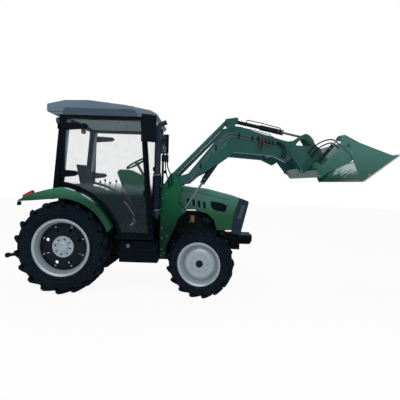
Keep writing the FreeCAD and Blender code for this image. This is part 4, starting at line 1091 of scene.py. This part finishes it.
PINS = (
    Pin("tractor", 1686, 1749, 580, 32), Pin("tractor", 1630, 1851, 580, 25),
    Pin("tractor", 1805, 1300, 582, 33), Pin("cranks", 2505, 2616, 579, 27),
    Pin("cranks", 2449, 2718, 579, 25), Pin("crank_pin_pair", 2591, 2742, 579, 23),
    Pin("carrier_pin_pair", 3484, 2281, 579, 30), Pin("bucket", 3681, 2529, 583, 28),
    Pin("bucket", 4203, 2354, 930, 30), Pin("clam", 4067, 2453, 930, 27),
    Pin("bucket", 3758, 2061, 906, 25),
)


@dataclass(frozen=True)
class Ram:
    """One kind of cylinder, of which there is a pair; sizes are in millimetres.

    Attributes:
        body: The body of its barrels.
        foot: The pin of its barrel as (x, z).
        eye: The pin of its rod as (x, z).
        y: How far each is from the middle.
        mouth: Distance from the foot to the barrel's open end.
        radius: The barrel's radius.
        rod: The rod's radius with its clearance.
        gland: How far the gland stands out.
    """

    body: str
    foot: Flat
    eye: Flat
    y: float
    mouth: float
    radius: float
    rod: float
    gland: float

    def axis(self, side: int) -> tuple[Vector, Vector]:
        """The middle of the foot and the direction to the eye, on one side."""
        foot, eye = (at(x, side * self.y, z) for x, z in (self.foot, self.eye))
        return foot, (eye - foot).normalized()


LIFT = Ram("lift_cylinders", (2470, 2321), (1805, 1300), 500.0, 672.0, 38.0, 19.3, 28.0)
TILT = Ram("tilt_cylinders", (2591, 2742), (3681, 2529), 380.0, 758.0, 42.0, 18.3, 30.0)
CLAM = Ram("clam_cylinders", (3758, 2061), (4067, 2453), 862.0, 368.0, 28.0, 14.3, 22.0)
SILENCER = (1398.0, -662.0)
GUARD_RADIUS = 66.0


def guard(turn: float, z: float) -> Vector:
    """A point on the silencer's guard, from its angle off the machine's right and its height."""
    angle = turn - math.pi / 2
    return at(SILENCER[0] + GUARD_RADIUS * math.cos(angle),
              SILENCER[1] + GUARD_RADIUS * math.sin(angle), z)


class Fittings:
    """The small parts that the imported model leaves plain."""

    def __init__(self, palette: Palette) -> None:
        self.palette = palette

    def make(self, forge: Forge, name: str, look: Look, body: str = "tractor",
             smooth: float = CREASE) -> bpy.types.Object:
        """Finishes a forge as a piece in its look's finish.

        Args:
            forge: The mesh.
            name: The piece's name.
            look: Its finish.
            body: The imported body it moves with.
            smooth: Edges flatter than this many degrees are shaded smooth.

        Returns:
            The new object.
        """
        slot = SLOTS.get(look, look.value)
        return forge.piece(name, body, self.palette[look], slot, smooth)

    def pin_ends(self) -> None:
        """A painted keeper disc and a small bolt on every pin's end."""
        for body in sorted({pin.body for pin in PINS}):
            discs, bolts = Forge(), Forge()
            for pin in PINS:
                if pin.body != body:
                    continue
                for side in (-1, 1):
                    r, out = pin.radius, Y_AXIS * side
                    place = at(pin.x, side * pin.y, pin.z)
                    discs.turned([(0.0, 4.0), (r * 0.55, 4.0), (r * 0.62, 2.5), (r * 0.8, 2.5),
                                  (r, 1.2), (r, -1.0)], place, out, 32)
                    bolts.bolt(place + out * 0.0035, out, 7.0, 6.0)
            self.make(discs, "pin_ends_" + body, Look.LOADER, body)
            self.make(bolts, "pin_bolts_" + body, Look.PIN, body)

    def arms(self) -> None:
        """Pipe clamps, the coupler's ports and its two levers."""
        clamps, levers, ports = Forge(), Forge(), Forge()
        for x, z in ((2060, 2035), (2290, 2325), (2640, 2520), (2850, 2485)):
            for side in (-1, 1):
                clamps.block((x - 13, side * 555, z - 60), (x + 13, side * 574, z + 13))
                clamps.bolt(at(x, side * 574, z - 23), Y_AXIS * side, 9.0, 6.0)
        for x, z in ((2965, 2462), (3020, 2449), (3075, 2436), (3130, 2423)):
            for drop in (0, 24):
                ports.turned([(0.0, 12.0), (6.0, 12.0), (8.5, 9.0), (8.5, 3.0), (11.0, 3.0),
                              (11.0, 0.0)], at(x + 6, -597, z - drop), -Y_AXIS, 18)
            ports.bolt(at(x + 30, -597, z - 18), -Y_AXIS, 7.0, 4.0)
        for start, knee, end in (((2979, -594, 2424), (2972, -602, 2360), (2968, -604, 2300)),
                                 ((3010, -594, 2420), (3060, -602, 2372), (3118, -604, 2352))):
            levers.pipe(route(1, start, knee, end), 8.0, 12)
            grip = (end[0] + (end[0] - knee[0]) * 0.3, end[1], end[2] + (end[2] - knee[2]) * 0.3)
            levers.rod(at(*end), at(*grip), 12.0, 12)
        self.make(clamps, "pipe_clamps", Look.STEEL, "loader_boom")
        self.make(ports, "coupler_ports", Look.PIN, "loader_boom")
        self.make(levers, "coupler_levers", Look.LEVER, "loader_boom")

    def cylinders(self) -> None:
        """Gland rings on the three kinds of cylinder, and the lift cylinders' pipes."""
        for ram in (LIFT, TILT, CLAM):
            forge, r = Forge(), ram.radius
            for side in (-1, 1):
                foot, axis = ram.axis(side)
                forge.turned([(ram.rod, ram.gland), (r - 6, ram.gland), (r + 1, ram.gland - 4),
                              (r + 3.5, ram.gland - 9), (r + 3.5, 3.0), (r + 0.2, 0.0)],
                             foot + axis * ram.mouth / 1000.0, axis, 40)
                forge.turned([(r + 0.1, 14.0), (r + 2.0, 12.0), (r + 2.0, 2.0), (r + 0.1, 0.0)],
                             foot + axis * (ram.mouth - 60.0) / 1000.0, axis, 40)
            self.make(forge, "glands_" + ram.body, Look.PIN, ram.body)
        pipe = Forge()
        for side in (-1, 1):
            foot, axis = LIFT.axis(side)
            out = Vector((-axis.z, 0, axis.x))
            way = [foot + axis * a / 1000.0 - out * b / 1000.0 for a, b in
                   ((230, 34), (234, 43), (248, 45), (600, 45), (628, 43), (634, 34))]
            pipe.pipe(way, 6.5, 12)
            for a in (290, 470):
                pipe.turned([(38.2, 12.0), (41.0, 11.0), (41.0, 1.0), (38.2, 0.0)],
                            foot + axis * a / 1000.0, axis, 32)
        self.make(pipe, "lift_pipes", Look.STEEL, "lift_cylinders")

    def bucket(self) -> None:
        """Worn cutting edges, the clam's floor, its hinge rings and its weld beads."""
        edge, blade, rings, beads, floor = Forge(), Forge(), Forge(), Forge(), Forge()
        heel, tip = Vector((4424, 1827)), Vector((4968, 2253))
        along = (tip - heel).normalized()
        up = Vector((-along.y, along.x))
        shape = [tip - along * a + up * b for a, b in
                 ((110, 16), (110, 21), (30, 21), (2, 2), (30, 16))]
        edge.prism([tuple(p) for p in shape], -905, 905)
        for y in range(-840, 841, 140):
            place = tip - along * 78 + up * 21
            edge.bolt(at(place.x, y, place.y), Vector((up.x, 0, up.y)), 16.0, 5.0)
        foot, lip = Vector((3762, 1995)), Vector((3848, 1891))
        run = (lip - foot).normalized()
        side = Vector((run.y, -run.x))
        worn = [lip - run * a + side * b for a, b in ((24, 0), (24, -5), (4, -4), (0, 0))]
        blade.prism([tuple(p) for p in worn], -895, 895)
        for side_y in (-1, 1):
            rings.turned([(30.0, 0.0), (30.0, 5.0), (56.0, 5.0), (58.0, 3.0), (58.0, 0.0)],
                         at(4203, side_y * 920, 2354), Y_AXIS * side_y, 40)
            for x0, z0, x1, z1 in ((4452, 1838, 4955, 2233), (4378, 2392, 4858, 2226)):
                a, b = at(x0, side_y * 920, z0), at(x1, side_y * 920, z1)
                beads.rod(a, b, 5.0, 8)
        liner = [heel + along * a + up * b for a, b in ((60, 16), (570, 16), (566, 18), (64, 18))]
        floor.prism([tuple(p) for p in liner], -880, 880)
        self.make(floor, "clam_floor", Look.SCRAPED, "clam")
        self.make(edge, "clam_edge", Look.WORN, "clam")
        self.make(blade, "blade_edge", Look.WORN, "bucket")
        self.make(rings, "hinge_rings", Look.BUCKET, "clam")
        self.make(beads, "clam_beads", Look.BUCKET, "clam")

    def towers(self) -> None:
        """Bolts on the towers, and the valve's levers."""
        bolts, levers = Forge(), Forge()
        for x, z in ((1480, 580), (1480, 680), (1515, 620), (1480, 860), (1560, 900),
                     (1480, 1010), (1480, 1480), (1540, 1560)):
            for side in (-1, 1):
                bolts.bolt(at(x, side * 572, z), Y_AXIS * side, 17.0, 10.0)
        for x, tilt in ((1474, -10), (1524, 14)):
            levers.pipe([at(x, -536, 2196), at(x + tilt, -536, 2236)], 6.0, 10)
            levers.turned([(0.0, 26.0), (9.0, 22.0), (13.0, 12.0), (11.0, 2.0), (0.0, 0.0)],
                          at(x + tilt, -536, 2234), Z_AXIS, 20)
        self.make(bolts, "tower_bolts", Look.PIN)
        self.make(levers, "valve_levers", Look.BLACK)

    def engine(self) -> None:
        """What shows of the engine below the hood, on both sides."""
        cast, dark, tan, bright = Forge(), Forge(), Forge(), Forge()
        can = [(0.0, 0.0), (30.0, 0.0), (38.0, 6.0), (40.0, 14.0), (40.0, 92.0), (36.0, 98.0),
               (44.0, 100.0), (44.0, 118.0), (0.0, 118.0)]
        for side in (-1, 1):
            out = Y_AXIS * side
            tan.turned(can, at(1946, side * 236, 1085), Z_AXIS, 36)
            dark.turned([(0.0, 110.0), (34.0, 110.0), (46.0, 100.0), (48.0, 10.0), (40.0, 0.0),
                         (0.0, 0.0)], at(1700, side * 180, 850), out, 36)
            cast.turned([(0.0, 120.0), (58.0, 120.0), (64.0, 110.0), (64.0, 20.0), (52.0, 0.0),
                         (0.0, 0.0)], at(2120, side * 240, 1120), X_AXIS, 36)
            bright.turned([(0.0, 26.0), (30.0, 26.0), (36.0, 20.0), (28.0, 13.0), (36.0, 6.0),
                           (30.0, 0.0), (0.0, 0.0)], at(2246, side * 240, 1120), X_AXIS, 30)
            cast.turned([(0.0, 210.0), (42.0, 210.0), (46.0, 200.0), (46.0, 8.0), (0.0, 0.0)],
                        at(1450, side * 236, 860), X_AXIS, 32)
            cast.block((1500, side * 180, 1010), (1880, side * 214, 1062))
            cast.block((1960, side * 180, 800), (2150, side * 226, 900))
            cast.block((1400, side * 180, 745), (2240, side * 196, 775))
            for x in range(1420, 2240, 100):
                bright.bolt(at(x, side * 196, 760), out, 12.0, 7.0)
            for x in (1540, 1640, 1740, 1840):
                cast.pipe(route(side, (x, 214, 1036), (x, 250, 1050), (x + 12, 262, 1110),
                                (x + 12, 250, 1200)), 15.0, 14)
            dark.pipe(route(side, (1946, 262, 1195), (1960, 276, 1230), (2030, 280, 1238),
                            (2110, 262, 1216), (2130, 240, 1190)), 11.0, 12)
            dark.pipe(route(side, (2040, 205, 850), (2070, 260, 860), (2160, 276, 900),
                            (2200, 270, 1000), (2180, 262, 1062)), 13.0, 12)
            dark.pipe(route(side, (1660, 292, 850), (1600, 296, 870), (1560, 280, 950),
                            (1600, 240, 1030)), 8.0, 10)
            bright.pipe(route(side, (1905, 200, 1060), (1905, 250, 1075), (1912, 240, 1140)),
                        5.0, 10)
        blades, fan_z = 8, 1160
        for k in range(blades):
            turn = 2 * math.pi * k / blades
            dark.skin([[at(x, r * math.cos(turn + a), fan_z + r * math.sin(turn + a))
                        for a, r in ((0.0, 42.0), (0.5, 49.0), (0.42, 140.0), (0.1, 140.0))]
                       for x in (2424, 2430)])
        self.make(cast, "engine_castings", Look.CAST)
        self.make(dark, "engine_hoses", Look.PLASTIC)
        self.make(tan, "fuel_filters", Look.FILTER)
        self.make(bright, "engine_bolts", Look.PIN)

    def cab(self) -> None:
        """Levers, pedals, dials, trims, handles, wiper, mirrors' glass and lamp lenses."""
        dark, lens, glass, red, liner = Forge(), Forge(), Forge(), Forge(), Forge()
        bulge = [(0.0, 6.0), (30.0, 5.0), (44.0, 1.0), (46.0, -3.0)]
        for x, h in ((420, 130), (500, 160), (580, 120), (680, 150), (780, 110)):
            dark.pipe([at(x, -350, 1555), at(x + 14, -350, 1560 + h)], 6.0, 10)
            dark.turned([(0.0, 44.0), (14.0, 40.0), (17.0, 24.0), (10.0, 2.0), (0.0, 0.0)],
                        at(x + 14, -350, 1558 + h), Z_AXIS, 20)
        for y in (-130, -60, 110):
            dark.pipe([at(1000, y, 960), at(930, y, 1060)], 7.0, 8)
            dark.block((905, y - 30, 1048), (917, y + 30, 1118))
        dark.prism([(686, 1908), (700, 1930), (861, 1930), (1011, 1861), (1104, 1845),
                    (1104, 1836), (1009, 1852), (859, 1921), (704, 1921)], -174, 174)
        for y in (-80, 0, 80):
            lens.turned([(0.0, 2.0), (22.0, 2.0), (26.0, 4.0), (28.0, 2.0), (28.0, 0.0)],
                        at(735, y, 1930), Z_AXIS, 28)
        liner.block((-50, -680, 2690), (1180, 680, 2703))
        for side in (-1, 1):
            liner.prism([(-54, 1900), (2, 1900), (62, 2640), (6, 2640)], side * 690, side * 700)
            dark.prism([(-88, 1560), (-28, 1560), (2, 1900), (-54, 1900)], side * 690, side * 700)
        dark.pipe([at(1262, -80, 2640), at(1290, -60, 2300), at(1310, -50, 1980)], 6.0, 8)
        dark.pipe([at(1296, -50, 2250), at(1345, -50, 1640)], 5.0, 8)
        for side in (-1, 1):
            lens.turned(bulge, at(1352, side * 480, 2650), X_AXIS, 32)
            lens.turned(bulge, at(-192, side * 560, 2645), -X_AXIS, 32)
            turn = Matrix.Rotation(math.radians(side * 55.0), 4, "Z")
            middle = at(1305, side * 1010, 2500)
            face = [middle + turn @ Vector((-0.0305, y, z)) for y, z in
                    ((-0.088, -0.168), (0.088, -0.168), (0.088, 0.168), (-0.088, 0.168))]
            back = [p + turn @ Vector((-0.002, 0, 0)) for p in face]
            glass.skin([face, back])
            red.turned([(0.0, 12.0), (14.0, 11.0), (20.0, 4.0), (20.0, 0.0)],
                       at(1388, side * 700, 1935), X_AXIS, 24)
            dark.block((1335, side * 686, 1905), (1389, side * 714, 1965))
        for body, side in (("door_left", 1), ("door_right", -1)):
            handle = Forge()
            handle.block((1215, side * 779, 1510), (1262, side * 786, 1600))
            handle.pipe(route(side, (1238, 786, 1590), (1238, 812, 1586), (1232, 814, 1530),
                              (1232, 786, 1522)), 7.0, 12)
            handle.pipe(route(side, (1216, 748, 1180), (1200, 722, 1200), (1170, 722, 1560),
                              (1168, 748, 1590)), 9.0, 12)
            self.make(handle, "handle_" + body, Look.PLASTIC, body)
        self.make(dark, "cab_controls", Look.PLASTIC)
        self.make(lens, "lamp_lenses", Look.LENS)
        self.make(liner, "headliner", Look.LINER)
        self.make(glass, "mirror_glass", Look.MIRROR)
        self.make(red, "marker_lamps", Look.RED)

    def cushion(self, name: str, middle: Vector, size: tuple[float, float, float],
                lean: float) -> None:
        """One sewn cushion of the seat, crowned and drawn in along its seams.

        Args:
            name: The piece's name.
            middle: Its middle, in metres.
            size: Its full lengths along X, Y and Z before it leans, in millimetres.
            lean: How far it leans back, in degrees.
        """
        forge = Forge()
        half = [v / 2000.0 for v in size]
        turn = Matrix.Rotation(math.radians(-lean), 4, "Y")
        steps, square, drawn, rings = 40, 0.42, 0.03, []
        levels = ((-1.0, 0.84), (-0.86, 0.95), (-0.45, 1.0), (0.35, 1.0), (0.42, 0.975),
                  (0.49, 1.0), (0.8, 0.93), (0.97, 0.74), (1.04, 0.4), (1.06, 0.02))
        for level, grow in levels:
            ring = []
            for k in range(steps):
                t = 2 * math.pi * k / steps
                c, s = math.cos(t), math.sin(t)
                x = math.copysign(abs(c) ** square, c)
                y = math.copysign(abs(s) ** square, s)
                x *= 1.0 - drawn * (1.0 - y * y)
                y *= 1.0 - drawn * (1.0 - x * x)
                ring.append(middle + turn @ Vector((x * half[0] * grow, y * half[1] * grow,
                                                    level * half[2])))
            rings.append(ring)
        forge.skin(rings)
        made = self.make(forge, name, Look.SEAT, smooth=60.0)
        soft = made.modifiers.new("soft", "SUBSURF")
        soft.levels = soft.render_levels = 1
        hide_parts("driver_seat")

    def seat(self) -> None:
        """The driver's seat: two cushions on a shell and a bellows pedestal."""
        self.cushion("seat_cushion", at(362, 0, 1505), (462, 462, 104), 4.0)
        self.cushion("seat_back", at(93, 0, 1765), (470, 440, 98), -76.7)
        shell = Forge()
        shell.block((128, -236, 1428), (592, 236, 1452))
        for z in range(950, 1371, 60):
            shell.block((190, -140, z), (510, 140, z + 55))
        shell.block((160, -150, 906), (540, 150, 946))
        shell.prism([(84, 1530), (-16, 1985), (2, 1992), (104, 1530)], -200, 200)
        made = self.make(shell, "seat_shell", Look.PLASTIC)
        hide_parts("driver_seat")

    def rear(self) -> None:
        """The top link and its bracket, the shaft and its guard, couplers and blank plates."""
        steel, dark, bright = Forge(), Forge(), Forge()
        for y in (-28, 16):
            steel.prism([(-256, 700), (-256, 830), (-320, 815), (-330, 775), (-310, 735)],
                        y, y + 12)
        steel.rod(at(-306, -40, 775), at(-306, 40, 775), 13.0, 20)
        bright.pipe([at(-306, 0, 775), at(-520, 0, 812)], 12.0, 14)
        bright.pipe([at(-340, 0, 781), at(-470, 0, 803)], 19.0, 14)
        bright.rod(at(-530, -22, 813), at(-530, 22, 813), 22.0, 24)
        dark.prism([(-262, 690), (-420, 690), (-420, 676), (-276, 676), (-276, 600),
                    (-262, 600)], -86, 86)
        for side in (-1, 1):
            dark.prism([(-262, 690), (-420, 690), (-400, 620), (-262, 600)],
                       side * 86, side * 92)
            for y in (90, 130):
                bright.turned([(0.0, 34.0), (12.0, 34.0), (17.0, 28.0), (17.0, 6.0), (21.0, 6.0),
                               (21.0, 0.0)], at(-260, side * y, 800), -X_AXIS, 24)
            dark.block((-640, side * 770, 1330), (-632, side * 880, 1386))
        splines, shaft_radius, shaft_z = 6, 15, 640
        for k in range(splines):
            turn = 2 * math.pi * k / splines
            y, z = shaft_radius * math.cos(turn), shaft_z + shaft_radius * math.sin(turn)
            bright.rod(at(-380, y, z), at(-300, y, z), 4.0, 8)
        self.make(steel, "top_link_bracket", Look.BLACK)
        self.make(bright, "top_link", Look.PIN)
        self.make(dark, "shaft_guard", Look.PLASTIC)

    def bodywork(self) -> None:
        """Seams, catches, treads, slots, roof panels, caps and the silencer's guard."""
        dark, bright, panel = Forge(), Forge(), Forge()
        for side in (-1, 1):
            out = Y_AXIS * side
            dark.pipe(route(side, (1440, 331, 1640), (2090, 331, 1580), (2560, 331, 1478)),
                      3.0, 8)
            dark.block((1490, side * 330, 1345), (1530, side * 338, 1385))
            for z in (820, 700, 580):
                dark.block((1120, side * 700, z - 26), (1360, side * 712, z))
            bright.turned([(0.0, 12.0), (24.0, 12.0), (30.0, 8.0), (30.0, 0.0)],
                          at(980, side * 700, 740), out, 28)
            for x, z in ((1846, 1492), (1936, 1474), (2026, 1456), (2116, 1438)):
                dark.prism([(x, z), (x + 44, z - 6), (x + 50, z - 116), (x + 12, z - 106)],
                           side * 318, side * 320)
            panel.prism([(-23, 2708), (-12, 2788), (20, 2806), (1010, 2810), (1060, 2790),
                         (1090, 2742), (1090, 2708)], side * 772, side * 776)
        for z in (1300, 1840):
            bright.turned([(58.5, 20.0), (62.0, 19.0), (62.0, 1.0), (58.5, 0.0)],
                          at(*SILENCER, z), Z_AXIS, 40)
        for k in range(-4, 5):
            dark.rod(guard(k * 0.32, 1330), guard(k * 0.32, 1830), 4.0, 8)
        for z in (1340, 1500, 1660, 1820):
            dark.pipe([guard(k * 0.107, z) for k in range(-12, 13)], 5.0, 8)
        self.make(dark, "body_trim", Look.PLASTIC)
        self.make(panel, "roof_panels", Look.PANEL)
        self.make(bright, "caps_and_clamps", Look.PIN)

    def build(self) -> None:
        """Makes every group."""
        for step in (self.pin_ends, self.arms, self.cylinders, self.bucket, self.towers,
                     self.engine, self.cab, self.seat, self.rear, self.bodywork):
            step()


# ---------------------------------------------------------------- the whole machine

@dataclass(frozen=True)
class Rounding:
    """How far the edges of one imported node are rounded, in millimetres."""

    node: str
    width: float
    steps: int = 3


ROUNDINGS = (
    Rounding("hood", 6.0), Rounding("nose_grille", 5.0), Rounding("hood_panels", 2.5),
    Rounding("rear_fenders", 10.0, 4), Rounding("cab_roof", 7.0), Rounding("cab_frame", 8.0),
    Rounding("cab_base", 4.0), Rounding("door_frame_left", 6.0),
    Rounding("door_frame_right", 6.0), Rounding("boom", 5.0), Rounding("loader_towers", 2.5),
    Rounding("tool_carrier", 2.5), Rounding("bell_cranks", 2.5), Rounding("bucket_blade", 2.0),
    Rounding("bucket_clam", 2.5), Rounding("side_boxes", 12.0), Rounding("front_frame", 6.0),
    Rounding("engine_block", 8.0), Rounding("rear_axle_case", 10.0), Rounding("lamps", 2.5),
    Rounding("mirrors", 12.0, 4), Rounding("dash_console", 9.0), Rounding("loader_valve", 3.0),
    Rounding("tail_lamps", 4.0), Rounding("drawbar", 3.0), Rounding("knuckle_left", 4.0),
    Rounding("knuckle_right", 4.0),
)
SEAM_GAP = 0.00002  # metres; the node's triangles are joined where they are this close
FLAT = 0.6  # degrees; faces that meet flatter than this become one
SPECIAL = {
    "bucket_blade": Look.BUCKET, "bucket_clam": Look.BUCKET, "tool_carrier": Look.LOADER,
    "boom": Look.LOADER, "bell_cranks": Look.LOADER, "level_rods": Look.LOADER,
    # The towers and the dash console take the darker, painted-shade copy of the green.
    "loader_towers": Look.TOWER, "dash_console": Look.TOWER, "exhaust_stack": Look.STACK,
    "nose_grille": Look.STACK,
}


def softened(node: bpy.types.Object, rounding: Rounding, slot: str) -> None:
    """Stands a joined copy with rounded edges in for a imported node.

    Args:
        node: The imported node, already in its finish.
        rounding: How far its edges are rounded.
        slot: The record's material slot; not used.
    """
    mesh = bmesh.new()
    mesh.from_mesh(node.data)
    bmesh.ops.remove_doubles(mesh, verts=mesh.verts, dist=SEAM_GAP)
    bmesh.ops.dissolve_limit(mesh, angle_limit=math.radians(FLAT), verts=mesh.verts,
                             edges=mesh.edges)
    name = "soft_" + rounding.node
    made = placed(name, shaded(mesh, name, node.data.materials[0]))
    bevel = made.modifiers.new("rounded", "BEVEL")
    bevel.width = rounding.width / 1000.0
    bevel.segments = rounding.steps
    bevel.limit_method = "ANGLE"
    bevel.angle_limit = math.radians(CREASE)
    bevel.harden_normals = True
    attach(made, body_of(node)[0])
    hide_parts(rounding.node)


def dress_frame(frame: dict, palette: Palette) -> None:
    """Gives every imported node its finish, and rounds the edges of the larger ones.

    Args:
        palette: The materials.
    """
    slots = {entry["node"]: entry["material_slot"] for entry in frame["record"]["subparts"]}
    for name, node in frame["nodes"].items():
        look = SPECIAL.get(name, Look(slots[name]))
        node.data.materials.clear()
        node.data.materials.append(palette[look])
    for rounding in ROUNDINGS:
        softened(frame["nodes"][rounding.node], rounding, slots[rounding.node])


def main() -> None:
    """Builds the dressed machine."""
    logging.basicConfig(level=logging.INFO)
    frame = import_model()
    palette = Palette()
    Studio().build()
    for hose in HOSES + BUCKET_HOSES + tuple(hose.mirrored() for hose in BUCKET_HOSES):
        hose.build(palette)
    dress_frame(frame, palette)
    for place in wheel_places():
        Tyre(place).build(palette)
        Rim(place).build(palette)
    Fittings(palette).build()


if __name__ == "__main__":
    main()
